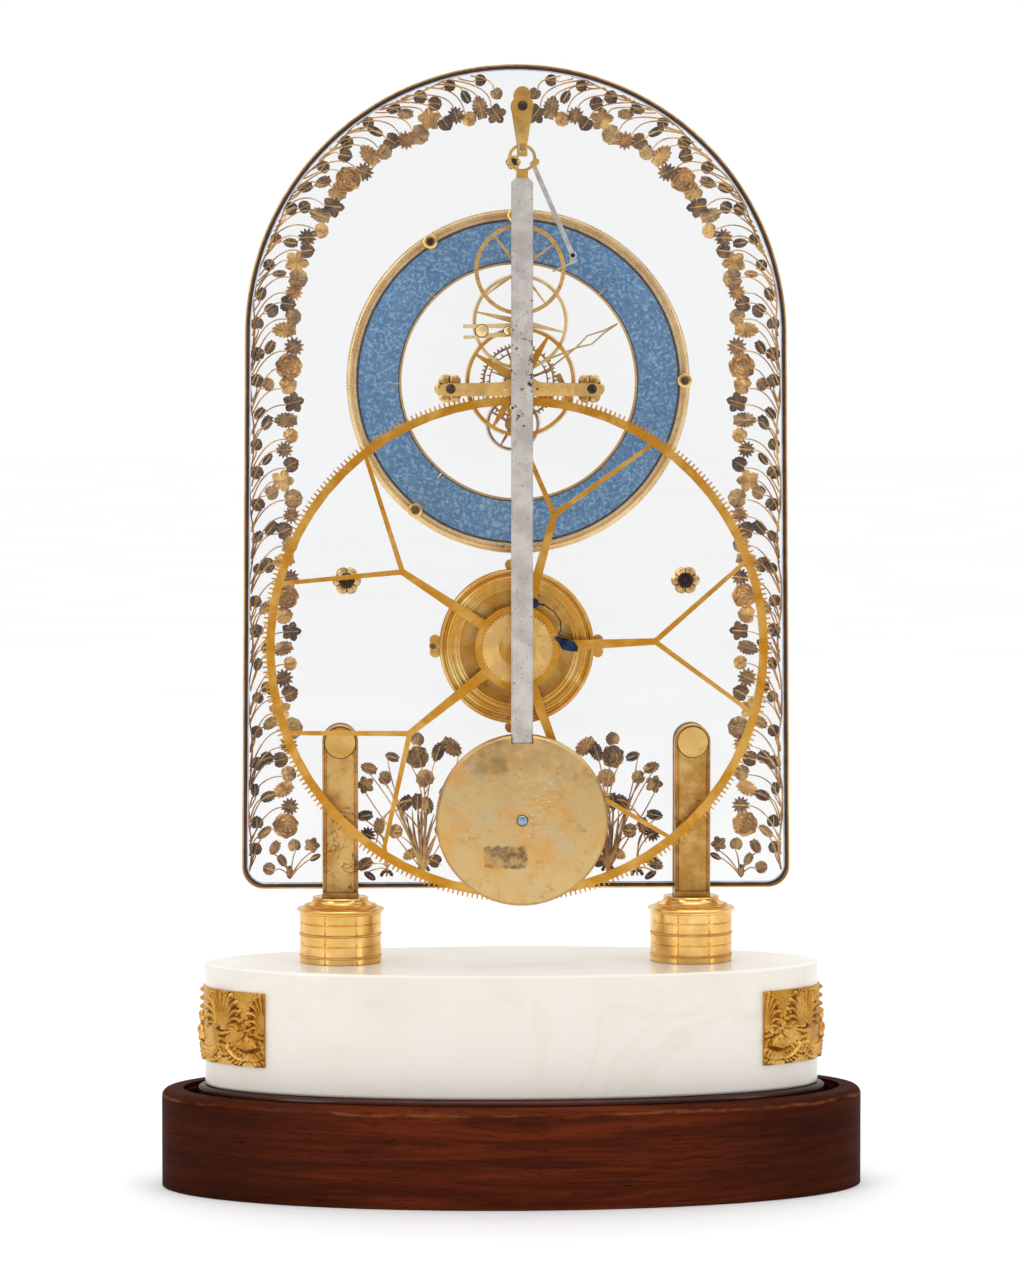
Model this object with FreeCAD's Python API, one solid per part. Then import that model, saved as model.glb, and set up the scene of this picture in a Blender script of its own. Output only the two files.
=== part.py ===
"""Glass-plate skeleton clock: one STEP file per sub-part, in millimetres.

X runs across the clock, Z is up and the movement faces -Y; the dial faces +Y.
The origin is on the floor, under the middle of the oval base.
"""
import FreeCAD, Part
import math
import os

V = FreeCAD.Vector

# --- base -------------------------------------------------------------------
BASE_A = 147.7              # half length of the oval mahogany base
BASE_B = 71.5               # half depth
BASE_H = 41.0
RIM_W = 9.0                 # top width of the rim ring
RIM_ROUND = 3.5
GROOVE_W = 6.3              # groove that holds a glass dome
BOARD_TOP = 30.0
PLATFORM_TOP = 42.5
MARBLE_A = 129.4
MARBLE_B = 53.5
MARBLE_TOP = 94.0
PLAQUE_Z = (53.2, 84.8)
PLAQUE_X = 103.6            # a plaque wraps the end of the plinth beyond this
PLAQUE_T = 1.2
NAIL_R = 0.8
NAIL_ANGLE = 19.7            # place round the plinth's oval, from its end
NAIL_Z = 68.7

# --- glass plate and its feet --------------------------------------------------
PLATE_X = 1.7               # the plate stands this far right of the base's middle
PLATE_T = 6.0
PLATE_BOTTOM = 125.2
PLATE_SPRING = 357.0        # height where the sides meet the round top
PLATE_HALF_LOW = 115.3      # half width at the bottom
PLATE_HALF = 113.4          # half width at the spring line, and radius of the top
PLATE_CORNER = 9.2
BAND_T = 1.0
BAND_PROUD = 0.6
SOCKET_DX = 74.0            # sockets stand this far each side of the plate's middle
SOCKET_R = 17.2
SOCKET_FLANGE_R = 18.35
SOCKET_DRUM_TOP = 115.6
SOCKET_TOP = 121.6
PILLAR_W = 15.0
PILLAR_ARM_T = 4.6
PILLAR_FOOT = 99.0
BOSS_Z = 187.0
BOSS_R = 6.3
STUD_R = 2.0
FIT = 0.05                  # radial clearance of a running fit
SLACK = 0.1                 # clearance round fixed pieces

# --- going train ----------------------------------------------------------------
LINE_X = PLATE_X + 1.4      # vertical line of the train, the dial and the pendulum
GREAT_Z = 227.3
CENTRE_Z = 338.1
THIRD_Z = 363.0
ESCAPE_Z = 384.9
GREAT_TEETH = 320
CENTRE_LEAVES = 16
CENTRE_TEETH = 168
TRAIN_LEAVES = 14
THIRD_TEETH = 140
ESCAPE_PINS = 60
GREAT_Y = (-17.6, -16.0)
GREAT_TIP = 106.5
GREAT_ROOT = 104.7
GREAT_RIM = 101.25
GREAT_HUB = 17.7
GREAT_FORK = 57.5           # radius at which each spoke forks
GREAT_SPOKES = 5
GREAT_ANGLE = 2.5
CENTRE_Y = (-13.2, -12.2)
THIRD_Y = (-10.0, -9.1)
ESCAPE_Y = (-7.0, -6.2)
ESCAPE_R = 19.0
ARBOR_R = 1.1

# --- motion work, hands and dial -------------------------------------------------
MINUTE_DX = -2.5            # minute-wheel stud, from the centre arbor
MINUTE_DZ = -17.9
CANNON_TEETH = 42
MINUTE_TEETH = 72
MINUTE_LEAVES = 8
HOUR_TEETH = 56
DATE_TEETH = 31
CANNON_Y = (5.2, 6.6)
MINUTE_Y = (5.4, 6.4)
HOUR_Y = (7.4, 8.3)
DATE_Y = (9.2, 10.0)
DATE_R = 14.4
DIAL_Y = (12.0, 13.4)
DIAL_IN = 50.2
DIAL_OUT = 68.2
BEZEL_OUT = 72.6
BEZEL_Y = (11.0, 15.0)
KNURLS = 356
DIAL_STUD_R = 69.3
DIAL_STUD_ANGLES = (0.3, 91.7, 122.6, 230.9)
HOUR_HAND_Y = (15.6, 16.2)
MINUTE_HAND_Y = (17.6, 18.2)
HOUR_HAND_L = 48.6
MINUTE_HAND_L = 64.0
HOUR_HAND_ANGLE = 30.0      # ten o'clock, read from the dial side
MINUTE_HAND_ANGLE = 90.0

# --- spring barrel -----------------------------------------------------------------
BARREL_R = 31.4
BARREL_WALL = 1.5
BARREL_COVER_R = 32.4
BARREL_STEP_R = 29.3
BARREL_Y = (-8.0, 20.5)
COVER_Y = (-9.6, -8.0)
EAR_R = 34.2
RATCHET_TEETH = 60
RATCHET_TIP = 15.2
RATCHET_ROOT = 14.3
RATCHET_Y = (-19.4, -18.0)
CLICK_DX = 21.0
CLICK_DZ = 1.2
SPRING_DX = 7.1
SPRING_DZ = 18.7
ARBOR_PIVOT_R = 3.5

# --- bridge, bars and cocks -----------------------------------------------------------
BRIDGE_Y = (-23.5, -21.5)
BRIDGE_HALF = 31.6
BRIDGE_Z = (332.2, 338.0)
BRIDGE_PILLAR_DX = 29.3
BRIDGE_PILLAR_Z = 335.2
BAR_Y = (-21.5, -20.0)
BAR_W = 5.6
BAR_Z = (309.0, 390.0)
ROSETTE_T = 1.0
ROSETTE_DX = 71.1           # plate rosettes
ROSETTE_Z = 254.8
ROSETTE_HOLE = 3.5

# --- pendulum ----------------------------------------------------------------------------
KNIFE_Z = 432.9
KNIFE_R = 0.2                # rounding of the knife's lower edge
KNIFE_H = 2.1
KNIFE_HALF_W = 0.8
SADDLE_Z = (KNIFE_Z - 1.8, KNIFE_Z - KNIFE_R - 0.02)
SUSPENSION_Z = 451.6        # screw of the suspension cock
ROD_W = 9.0
ROD_Y = (-33.0, -30.0)
ROD_Z = (188.6, 422.1)
BOB_Z = 156.6
BOB_R = 35.8
BOB_Y = (-36.0, -27.0)
RING_R = 5.8
RING_Y = (-32.3, -30.7)
COCK_Y = (-36.6, -35.0)
PALLET_Y = (-4.7, -3.7)
ARM_END_X = PLATE_X + 23.6  # foot of the pallet arm
ARM_END_Z = 390.9

FRONT = PLATE_T / 2
REAR = -PLATE_T / 2


# --- helpers -------------------------------------------------------------------------------
def box(x, y, z):
    """Block between the two values given for each axis."""
    return Part.makeBox(x[1] - x[0], y[1] - y[0], z[1] - z[0], V(x[0], y[0], z[0]))


def rod_y(x, z, r, y):
    """Round bar along Y."""
    return Part.makeCylinder(r, y[1] - y[0], V(x, y[0], z), V(0, 1, 0))


def rod_z(x, y, r, z):
    """Round bar along Z."""
    return Part.makeCylinder(r, z[1] - z[0], V(x, y, z[0]))


def tube_y(x, z, r, bore, y):
    return rod_y(x, z, r, y).cut(rod_y(x, z, bore, y))


def polar(x, z, r, degrees):
    a = math.radians(degrees)
    return V(x + r * math.cos(a), 0, z + r * math.sin(a))


def prism(points, y, holes=()):
    """Flat piece: an outline in the XZ plane, less its holes, stretched along Y."""
    outline = Part.Face(Part.makePolygon(list(points) + [points[0]]))
    for hole in holes:
        outline = outline.cut(Part.Face(Part.makePolygon(list(hole) + [hole[0]])))
    outline.translate(V(0, y[0], 0))
    return outline.extrude(V(0, y[1] - y[0], 0))


def circle_points(x, z, r, count, phase=0.0):
    return [polar(x, z, r, phase + 360.0 * i / count) for i in range(count)]


def bore_points(x, z, r, count=24):
    """Polygon whose flats are r from the centre."""
    return circle_points(x, z, r / math.cos(math.pi / count), count)


def strip(path, width, y):
    """Flat strip of even width along a path of points in the XZ plane."""
    left, right = [], []
    for i, p in enumerate(path):
        d = path[min(i + 1, len(path) - 1)] - path[max(i - 1, 0)]
        n = V(-d.z, 0, d.x).normalize() * (width / 2)
        left.append(p + n)
        right.append(p - n)
    return prism(left + right[::-1], y)


def fused(shapes):
    shapes = list(shapes)
    return shapes[0].multiFuse(shapes[1:]).removeSplitter() if len(shapes) > 1 else shapes[0]


def oval(a, b, z):
    """Solid elliptical drum between two heights."""
    edge = Part.Ellipse(V(0, 0, z[0]), a, b).toShape()
    return Part.Face(Part.Wire([edge])).extrude(V(0, 0, z[1] - z[0]))


def lathe_z(x, y, profile):
    """Turned piece about an upright axis; the profile is (radius, height) pairs."""
    points = [V(x + r, y, z) for r, z in profile]
    face = Part.Face(Part.makePolygon(points + [points[0]]))
    return face.revolve(V(x, y, 0), V(0, 0, 1), 360)


def slotted_screw(x, z, head_r, head_y, shank_r, shank_end, slot_angle=35.0):
    """Cheese-head screw along +Y, seen from its head at -Y."""
    slot_w, slot_depth = head_r * 0.3, (head_y[1] - head_y[0]) * 0.5
    slot = box((-head_r, head_r), (head_y[0], head_y[0] + slot_depth), (-slot_w / 2, slot_w / 2))
    slot.rotate(V(0, 0, 0), V(0, 1, 0), slot_angle)
    slot.translate(V(x, 0, z))
    head = rod_y(x, z, head_r, head_y).cut(slot)
    return head.fuse(rod_y(x, z, shank_r, (head_y[1], shank_end)))


# --- wheels --------------------------------------------------------------------------------
def toothed_outline(x, z, teeth, root, tip, root_half, tip_half, phase):
    """Outline of a wheel with slim straight teeth; phase is the angle of one tooth."""
    points = []
    for i in range(teeth):
        middle = phase + 360.0 * i / teeth
        for r, half in ((root, -root_half), (tip, -tip_half), (tip, tip_half), (root, root_half)):
            points.append(polar(x, z, r, middle + math.degrees(half / r)))
    return points


def arc_points(x, z, r, start, end, step=6.0):
    count = max(1, round(abs(end - start) / step))
    return [polar(x, z, r, start + (end - start) * i / count) for i in range(count + 1)]


def spoke_windows(x, z, hub, rim, spokes, angle, hub_w, rim_w):
    """Openings between tapered spokes."""
    at_hub = math.degrees(math.asin(hub_w / 2 / hub))
    at_rim = math.degrees(math.asin(rim_w / 2 / rim))
    step = 360.0 / spokes
    windows = []
    for i in range(spokes):
        low, high = angle + i * step, angle + (i + 1) * step
        outer = arc_points(x, z, rim, low + at_rim, high - at_rim)
        inner = arc_points(x, z, hub, high - at_hub, low + at_hub)
        windows.append(outer + inner)
    return windows


def crossing(p, d, q, e):
    """Point where the line p + t d meets the line q + s e, in the XZ plane."""
    t = ((q.x - p.x) * e.z - (q.z - p.z) * e.x) / (d.x * e.z - d.z * e.x)
    return p + d * t


def fork_windows(stem_hub, stem_fork, arm_fork, arm_rim, spread):
    """Openings of the great wheel: one between each two forks, one inside each fork."""
    step = 360.0 / GREAT_SPOKES
    fork = V(GREAT_FORK, 0, 0)
    foot = polar(0, 0, GREAT_RIM, spread)
    along = (foot - fork).normalize()
    across = V(-along.z, 0, along.x)
    outer_low = fork + across * (arm_fork / 2)
    outer_high = foot + across * (arm_rim / 2)
    inner_low = fork - across * (arm_fork / 2)
    inner_high = foot - across * (arm_rim / 2)
    stem_low = V(math.sqrt(GREAT_HUB ** 2 - (stem_hub / 2) ** 2), 0, stem_hub / 2)
    stem_end = V(GREAT_FORK, 0, stem_fork / 2)
    armpit = crossing(stem_low, stem_end - stem_low, outer_low, outer_high - outer_low)
    crotch = crossing(V(0, 0, 0), V(1, 0, 0), inner_low, inner_high - inner_low)
    half_turn = math.degrees(math.asin(arm_rim / 2 / GREAT_RIM))
    hub_turn = math.degrees(math.asin(stem_hub / 2 / GREAT_HUB))
    flip = lambda p: V(p.x, 0, -p.z)
    inside = [crotch] + arc_points(0, 0, GREAT_RIM, -spread + half_turn, spread - half_turn)
    windows = []
    for i in range(GREAT_SPOKES):
        turn = GREAT_ANGLE + i * step
        rim = arc_points(0, 0, GREAT_RIM, spread + half_turn, step - spread - half_turn)
        hub = arc_points(0, 0, GREAT_HUB, step - hub_turn, hub_turn)
        between = [armpit] + rim + [turned(flip(armpit), step)] + hub
        windows.append([turned(p, turn) for p in between])
        windows.append([turned(p, turn) for p in inside])
    return [[V(p.x + PLATE_X, 0, p.z + GREAT_Z) for p in window] for window in windows]


def turned(p, degrees):
    a = math.radians(degrees)
    return V(p.x * math.cos(a) - p.z * math.sin(a), 0, p.x * math.sin(a) + p.z * math.cos(a))


def direction(x0, z0, x1, z1):
    return math.degrees(math.atan2(z1 - z0, x1 - x0))


def great_wheel():
    mesh_angle = direction(PLATE_X, GREAT_Z, LINE_X, CENTRE_Z)
    phase = mesh_angle + 180.0 / GREAT_TEETH
    outline = toothed_outline(PLATE_X, GREAT_Z, GREAT_TEETH, GREAT_ROOT, GREAT_TIP, 0.42, 0.26, phase)
    holes = fork_windows(4.5, 2.7, 2.2, 1.8, 18.0)
    holes.append(bore_points(PLATE_X, GREAT_Z, ARBOR_PIVOT_R + FIT))
    holes.append(bore_points(PLATE_X + CLICK_DX, GREAT_Z + CLICK_DZ, 0.9, 12))
    holes.append(bore_points(PLATE_X + SPRING_DX, GREAT_Z + SPRING_DZ, 0.7, 12))
    return prism(outline, GREAT_Y, holes)


def train_wheel(z, teeth, root, tip, y, rim_w, hub, angle, hub_w, rim_spoke_w):
    """Four-armed wheel on the train line, with a tooth gap straight up."""
    outline = toothed_outline(LINE_X, z, teeth, root, tip, 0.2, 0.13, 90.0 + 180.0 / teeth)
    holes = spoke_windows(LINE_X, z, hub, root - rim_w, 4, angle, hub_w, rim_spoke_w)
    holes.append(bore_points(LINE_X, z, ARBOR_R))
    return prism(outline, y, holes)


def centre_wheel():
    return train_wheel(CENTRE_Z, CENTRE_TEETH, 22.7, 23.3, CENTRE_Y, 1.4, 4.4, 58.5, 4.6, 1.2)


def pinion(x, z, leaves, root, tip, half, y, phase, bore):
    outline = toothed_outline(x, z, leaves, root, tip, half, half * 0.7, phase)
    return prism(outline, y, [bore_points(x, z, bore, 16)])


def centre_pinions():
    """Pinion driven by the great wheel, and the cannon pinion of the motion work."""
    to_great = direction(LINE_X, CENTRE_Z, PLATE_X, GREAT_Z)
    to_minute = direction(0, 0, MINUTE_DX, MINUTE_DZ)
    driven = pinion(LINE_X, CENTRE_Z, CENTRE_LEAVES, 4.0, 5.75, 0.3, (-18.3, -15.2), to_great, 2.0)
    outline = toothed_outline(LINE_X, CENTRE_Z, CANNON_TEETH, 6.25, 6.95, 0.22, 0.14,
                              to_minute + 180.0 / CANNON_TEETH)
    cannon = prism(outline, CANNON_Y, [bore_points(LINE_X, CENTRE_Z, 2.0)])
    return Part.makeCompound([driven, cannon])


def centre_arbor():
    parts = [
        rod_y(LINE_X, CENTRE_Z, 0.6, (-21.3, -19.0)),
        rod_y(LINE_X, CENTRE_Z, 1.99, (-19.0, -15.0)),
        rod_y(LINE_X, CENTRE_Z, ARBOR_R - 0.01, (-15.0, 3.0)),
        rod_y(LINE_X, CENTRE_Z, 1.99, (4.8, 16.8)),
        rod_y(LINE_X, CENTRE_Z, ARBOR_R - 0.01, (3.0, 4.8)),
        rod_y(LINE_X, CENTRE_Z, 1.2, (16.8, 20.0)),
        rod_y(LINE_X, CENTRE_Z, 3.0, (-14.0, CENTRE_Y[0])),
    ]
    return fused(parts)


def third_arbor():
    """Arbor and pinion of the third wheel, driven by the centre wheel."""
    shaft = fused([
        rod_y(LINE_X, THIRD_Z, 0.5, (-21.2, -19.0)),
        rod_y(LINE_X, THIRD_Z, ARBOR_R - 0.01, (-19.0, 1.0)),
        rod_y(LINE_X, THIRD_Z, 0.5, (1.0, 3.6)),
    ])
    return shaft


def train_pinions(z, root, tip, y):
    return pinion(LINE_X, z, TRAIN_LEAVES, root, tip, 0.15, y, -90.0, ARBOR_R)


def escape_arbor():
    return fused([
        rod_y(LINE_X, ESCAPE_Z, 0.45, (-21.2, -19.0)),
        rod_y(LINE_X, ESCAPE_Z, ARBOR_R - 0.01, (-19.0, 1.0)),
        rod_y(LINE_X, ESCAPE_Z, 0.45, (1.0, 3.6)),
    ])


def third_wheel():
    wheel = train_wheel(THIRD_Z, THIRD_TEETH, 19.6, 20.2, THIRD_Y, 1.2, 2.6, 77.0, 2.6, 0.7)
    leaves = train_pinions(THIRD_Z, 1.45, 2.05, (-14.0, -11.4))
    return Part.makeCompound([wheel, leaves])


def escape_wheel():
    outline = circle_points(LINE_X, ESCAPE_Z, ESCAPE_R, 180)
    holes = spoke_windows(LINE_X, ESCAPE_Z, 2.6, ESCAPE_R - 1.7, 4, 37.0, 1.5, 0.6)
    holes.append(bore_points(LINE_X, ESCAPE_Z, ARBOR_R))
    wheel = prism(outline, ESCAPE_Y, holes)
    leaves = train_pinions(ESCAPE_Z, 1.48, 2.1, (-10.8, -8.4))
    return Part.makeCompound([wheel, leaves])


def escape_pins():
    """Pins standing alternately on the two faces of the escape wheel's rim."""
    length = 1.2
    pins = []
    for i in range(ESCAPE_PINS):
        at = polar(LINE_X, ESCAPE_Z, ESCAPE_R - 0.85, 360.0 * i / ESCAPE_PINS)
        face = (ESCAPE_Y[1], ESCAPE_Y[1] + length) if i % 2 else (ESCAPE_Y[0] - length, ESCAPE_Y[0])
        pins.append(prism(circle_points(at.x, at.z, 0.35, 8), face))
    return Part.makeCompound(pins)


def minute_wheel():
    """Wheel and pinion of the motion work, in mesh with the cannon pinion and the hour wheel."""
    x, z = LINE_X + MINUTE_DX, CENTRE_Z + MINUTE_DZ
    to_centre = direction(x, z, LINE_X, CENTRE_Z)
    outline = toothed_outline(x, z, MINUTE_TEETH, 10.95, 11.65, 0.22, 0.14, to_centre)
    holes = spoke_windows(x, z, 3.4, 9.9, 4, 60.0, 1.4, 0.8)
    wheel = prism(outline, MINUTE_Y, holes + [bore_points(x, z, 1.0 + FIT)])
    leaves = pinion(x, z, MINUTE_LEAVES, 1.6, 2.65, 0.34, (MINUTE_Y[1], 9.0), to_centre, 1.0 + FIT)
    return Part.makeCompound([wheel, leaves])


def hour_wheel():
    """Hour wheel with its pipe."""
    to_minute = direction(0, 0, MINUTE_DX, MINUTE_DZ)
    outline = toothed_outline(LINE_X, CENTRE_Z, HOUR_TEETH, 15.2, 16.25, 0.45, 0.26,
                              to_minute + 180.0 / HOUR_TEETH)
    holes = spoke_windows(LINE_X, CENTRE_Z, 4.2, 14.3, 4, 20.0, 1.2, 0.8)
    wheel = prism(outline, HOUR_Y, holes + [bore_points(LINE_X, CENTRE_Z, 2.85)])
    pipe = tube_y(LINE_X, CENTRE_Z, 2.8, 2.0 + FIT, (7.2, HOUR_HAND_Y[1]))
    return Part.makeCompound([wheel, pipe])


def date_wheel():
    """Star wheel with thorn-shaped teeth, turning on the hour wheel's pipe."""
    points = []
    step = 360.0 / DATE_TEETH
    for i in range(DATE_TEETH):
        at = 4.0 + i * step
        points.append(polar(LINE_X, CENTRE_Z, 12.5, at))
        points.append(polar(LINE_X, CENTRE_Z, DATE_R, at + step * 0.22))
        points.append(polar(LINE_X, CENTRE_Z, 12.5, at + step * 0.28))
    holes = spoke_windows(LINE_X, CENTRE_Z, 4.6, 11.9, 4, 70.0, 0.9, 0.6)
    return prism(points, DATE_Y, holes + [bore_points(LINE_X, CENTRE_Z, 2.8 + FIT)])


def hand(y, angle, length, hub_r, bore):
    """Openwork hand: two crossing wires that end in a diamond and a point."""
    wire = 0.7
    shape = [prism(circle_points(0, 0, hub_r, 24), y)]
    for side in (1, -1):
        path = [(hub_r * 0.7, side * 1.4), (length * 0.3, side * 1.9), (length * 0.59, -side * 0.1),
                (length * 0.72, -side * 2.0), (length * 0.86, -side * 0.5), (length, 0.0)]
        shape.append(strip([V(x, 0, z) for x, z in path], wire, y))
    shape = fused(shape).cut(prism(bore_points(0, 0, bore), y))
    shape.rotate(V(0, 0, 0), V(0, 1, 0), -angle)
    shape.translate(V(LINE_X, 0, CENTRE_Z))
    return shape


def hour_hand():
    return hand(HOUR_HAND_Y, HOUR_HAND_ANGLE, HOUR_HAND_L, 4.2, 2.82)


def minute_hand():
    return hand(MINUTE_HAND_Y, MINUTE_HAND_ANGLE, MINUTE_HAND_L, 2.6, 1.21)


def ratchet_wheel():
    points = []
    step = 360.0 / RATCHET_TEETH
    for i in range(RATCHET_TEETH):
        points.append(polar(PLATE_X, GREAT_Z, RATCHET_ROOT, i * step))
        points.append(polar(PLATE_X, GREAT_Z, RATCHET_TIP, i * step + step * 0.85))
    return prism(points, RATCHET_Y, [bore_points(PLATE_X, GREAT_Z, ARBOR_PIVOT_R + 0.01)])


def barrel_arbor():
    """Winding arbor: spring core, two pivots, collars at the back and a square at the front."""
    def bar(r, y):
        return rod_y(PLATE_X, GREAT_Z, r, y)
    square = 4.4
    half = square / 2
    key_end = box((PLATE_X - half, PLATE_X + half), (22.0, 31.0), (GREAT_Z - half, GREAT_Z + half))
    return fused([
        bar(ARBOR_PIVOT_R, (-20.4, 22.0)),
        bar(7.8, (-20.0, -19.45)),
        bar(6.0, (-20.8, -20.0)),
        bar(6.0, (-7.4, 18.4)),
        key_end,
    ])


def click():
    """Pawl whose tip stands just clear of the ratchet teeth."""
    px, pz = PLATE_X + CLICK_DX, GREAT_Z + CLICK_DZ
    points = [V(14.95, 0, 4.1), V(16.6, 0, 2.3), V(18.3, 0, -0.6), V(21.4, 0, -1.3), V(24.6, 0, -1.6),
              V(24.9, 0, 0.2), V(23.4, 0, 2.6), V(21.0, 0, 3.6), V(18.4, 0, 4.2), V(16.2, 0, 4.9)]
    outline = [V(PLATE_X + p.x + 0.35, 0, GREAT_Z + p.z) for p in points]
    return prism(outline, RATCHET_Y, [bore_points(px, pz, 1.3 + FIT, 16)])


def click_spring():
    """Bowed spring that keeps the pawl on the ratchet."""
    path = [V(11.0, 0, 18.0), V(15.2, 0, 15.2), V(17.9, 0, 11.2), V(18.1, 0, 7.4), V(17.2, 0, 5.6)]
    hole = bore_points(SPRING_DX, SPRING_DZ, 0.9, 12)
    ring = prism(circle_points(SPRING_DX, SPRING_DZ, 1.9, 16), RATCHET_Y, [hole])
    blade = strip(path, 0.5, (RATCHET_Y[0] + 0.2, RATCHET_Y[1] - 0.2))
    link = strip([V(8.4, 0, 18.4), V(11.2, 0, 17.95)], 0.9, (RATCHET_Y[0] + 0.2, RATCHET_Y[1] - 0.2))
    spring = fused([ring, blade, link])
    spring.translate(V(PLATE_X, 0, GREAT_Z))
    return spring


def click_screws():
    x, z = PLATE_X + CLICK_DX, GREAT_Z + CLICK_DZ
    pivot = slotted_screw(x, z, 2.3, (-20.7, -19.5), 1.3, GREAT_Y[0])
    thread = rod_y(x, z, 0.85, GREAT_Y)
    x, z = PLATE_X + SPRING_DX, GREAT_Z + SPRING_DZ
    spring = slotted_screw(x, z, 1.7, (-20.4, -19.4), 0.65, GREAT_Y[1], 80.0)
    return Part.makeCompound([pivot.fuse(thread), spring])


def mainspring():
    """Coiled ribbon inside the barrel."""
    turns, inner, outer, ribbon = 13, 8.0, 29.0, 0.4
    steps = turns * 20
    path = [polar(PLATE_X, GREAT_Z, inner + (outer - inner) * i / steps, 18.0 * i) for i in range(steps + 1)]
    return strip(path, ribbon, (-6.5, 17.5))


# --- barrel casing ----------------------------------------------------------------------------
def barrel_drum():
    low, high = BARREL_Y
    shell = rod_y(PLATE_X, GREAT_Z, BARREL_R, BARREL_Y)
    shell = shell.fuse(rod_y(PLATE_X, GREAT_Z, BARREL_COVER_R, (REAR - 1.2, REAR)))
    hollow = rod_y(PLATE_X, GREAT_Z, BARREL_R - BARREL_WALL, (low, high - BARREL_WALL))
    boss = rod_y(PLATE_X, GREAT_Z, 8.0, (high, high + 1.0))
    bore = rod_y(PLATE_X, GREAT_Z, ARBOR_PIVOT_R + FIT, (low, high + 1.0))
    return fused([shell.cut(hollow), boss]).cut(bore)


def barrel_cover():
    disc = rod_y(PLATE_X, GREAT_Z, BARREL_COVER_R, COVER_Y)
    raised = rod_y(PLATE_X, GREAT_Z, BARREL_STEP_R, (COVER_Y[0] - 0.8, COVER_Y[0]))
    boss = rod_y(PLATE_X, GREAT_Z, 8.0, (COVER_Y[0] - 3.0, COVER_Y[0] - 0.8))
    cover = fused([disc, raised, boss])
    cover = cover.cut(rod_y(PLATE_X, GREAT_Z, ARBOR_PIVOT_R + FIT, (-14.0, -7.0)))
    return cover.cut(rod_y(PLATE_X - 30.8, GREAT_Z, 0.8, (-12.0, -7.0)))


def barrel_ears():
    """Four two-lobed ears that clamp the barrel's flange to the glass."""
    lobe, spread = 2.3, 4.2
    ears = []
    for angle in (0, 90, 180, 270):
        pair = []
        for side in (-1, 1):
            at = polar(PLATE_X, GREAT_Z, EAR_R, angle + side * spread)
            pair.append(rod_y(at.x, at.z, lobe, (REAR - 2.6, REAR - 1.2)))
            pair.append(rod_y(at.x, at.z, lobe, (REAR - 1.2, REAR)))
        neck = polar(PLATE_X, GREAT_Z, EAR_R + 0.4, angle)
        pair.append(rod_y(neck.x, neck.z, 2.0, (REAR - 2.6, REAR)))
        ear = fused(pair).cut(rod_y(PLATE_X, GREAT_Z, BARREL_COVER_R + 0.02, (REAR - 1.2, REAR)))
        ear = ear.cut(rod_y(PLATE_X, GREAT_Z, BARREL_R + 0.02, (REAR - 2.6, REAR)))
        middle = polar(PLATE_X, GREAT_Z, EAR_R + 0.9, angle)
        ears.append(ear.cut(rod_y(middle.x, middle.z, 0.65, (REAR - 3.0, REAR))))
    return Part.makeCompound(ears)


def plate_screws():
    """Blued screws that go into the glass: four at the dial, four at the barrel's ears."""
    screws = []
    for i, angle in enumerate(DIAL_STUD_ANGLES):
        at = polar(LINE_X, CENTRE_Z, DIAL_STUD_R, angle)
        screws.append(slotted_screw(at.x, at.z, 1.6, (REAR - 2.2, REAR - 1.0), 1.1, 7.0, 40.0 * i))
    for angle in (0, 90, 180, 270):
        at = polar(PLATE_X, GREAT_Z, EAR_R + 0.9, angle)
        screws.append(slotted_screw(at.x, at.z, 1.1, (REAR - 3.4, REAR - 2.6), 0.6, REAR + 2.5, angle + 20.0))
    return Part.makeCompound(screws)


# --- base and feet --------------------------------------------------------------------------------
def base_rim():
    outer = oval(BASE_A, BASE_B, (0, BASE_H))
    rounded = [e for e in outer.Edges if e.BoundBox.ZLength < 0.01]
    outer = outer.makeFillet(RIM_ROUND, [e for e in rounded if e.BoundBox.ZMin > BASE_H - 1])
    return outer.cut(oval(BASE_A - RIM_W, BASE_B - RIM_W, (-1, BASE_H + 1)))


def base_board():
    inset = RIM_W + SLACK
    board = oval(BASE_A - inset, BASE_B - inset, (1.0, BOARD_TOP))
    return board.cut(bolt_holes((0, BOARD_TOP + 1), 3.2)).cut(bolt_holes((0, 14.0), 9.0))


def inner_platform():
    inset = RIM_W + GROOVE_W
    slab = oval(BASE_A - inset, BASE_B - inset, (BOARD_TOP, PLATFORM_TOP))
    top = [e for e in slab.Edges if e.BoundBox.ZLength < 0.01 and e.BoundBox.ZMin > PLATFORM_TOP - 1]
    return slab.makeFillet(1.8, top).cut(bolt_holes((BOARD_TOP - 1, PLATFORM_TOP + 1), 3.2))


def bolt_holes(z, r):
    return Part.makeCompound([rod_z(PLATE_X + side * SOCKET_DX, 0, r, z) for side in (-1, 1)])


def marble_plinth():
    block = oval(MARBLE_A, MARBLE_B, (PLATFORM_TOP, MARBLE_TOP))
    rims = [e for e in block.Edges if e.BoundBox.ZLength < 0.01]
    return block.makeFillet(1.2, rims).cut(bolt_holes((PLATFORM_TOP - 1, MARBLE_TOP + 1), 3.2))


def plaques():
    """Thin shells wrapped round the two ends of the plinth."""
    gap = 0.02
    outer = oval(MARBLE_A + gap + PLAQUE_T, MARBLE_B + gap + PLAQUE_T, PLAQUE_Z)
    shell = outer.cut(oval(MARBLE_A + gap, MARBLE_B + gap, PLAQUE_Z))
    ends = []
    for x in ((-BASE_A, -PLAQUE_X), (PLAQUE_X, BASE_A)):
        piece = shell.common(box(x, (-BASE_B, BASE_B), PLAQUE_Z))
        ends.append(piece)
    return Part.makeCompound(ends)


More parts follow.
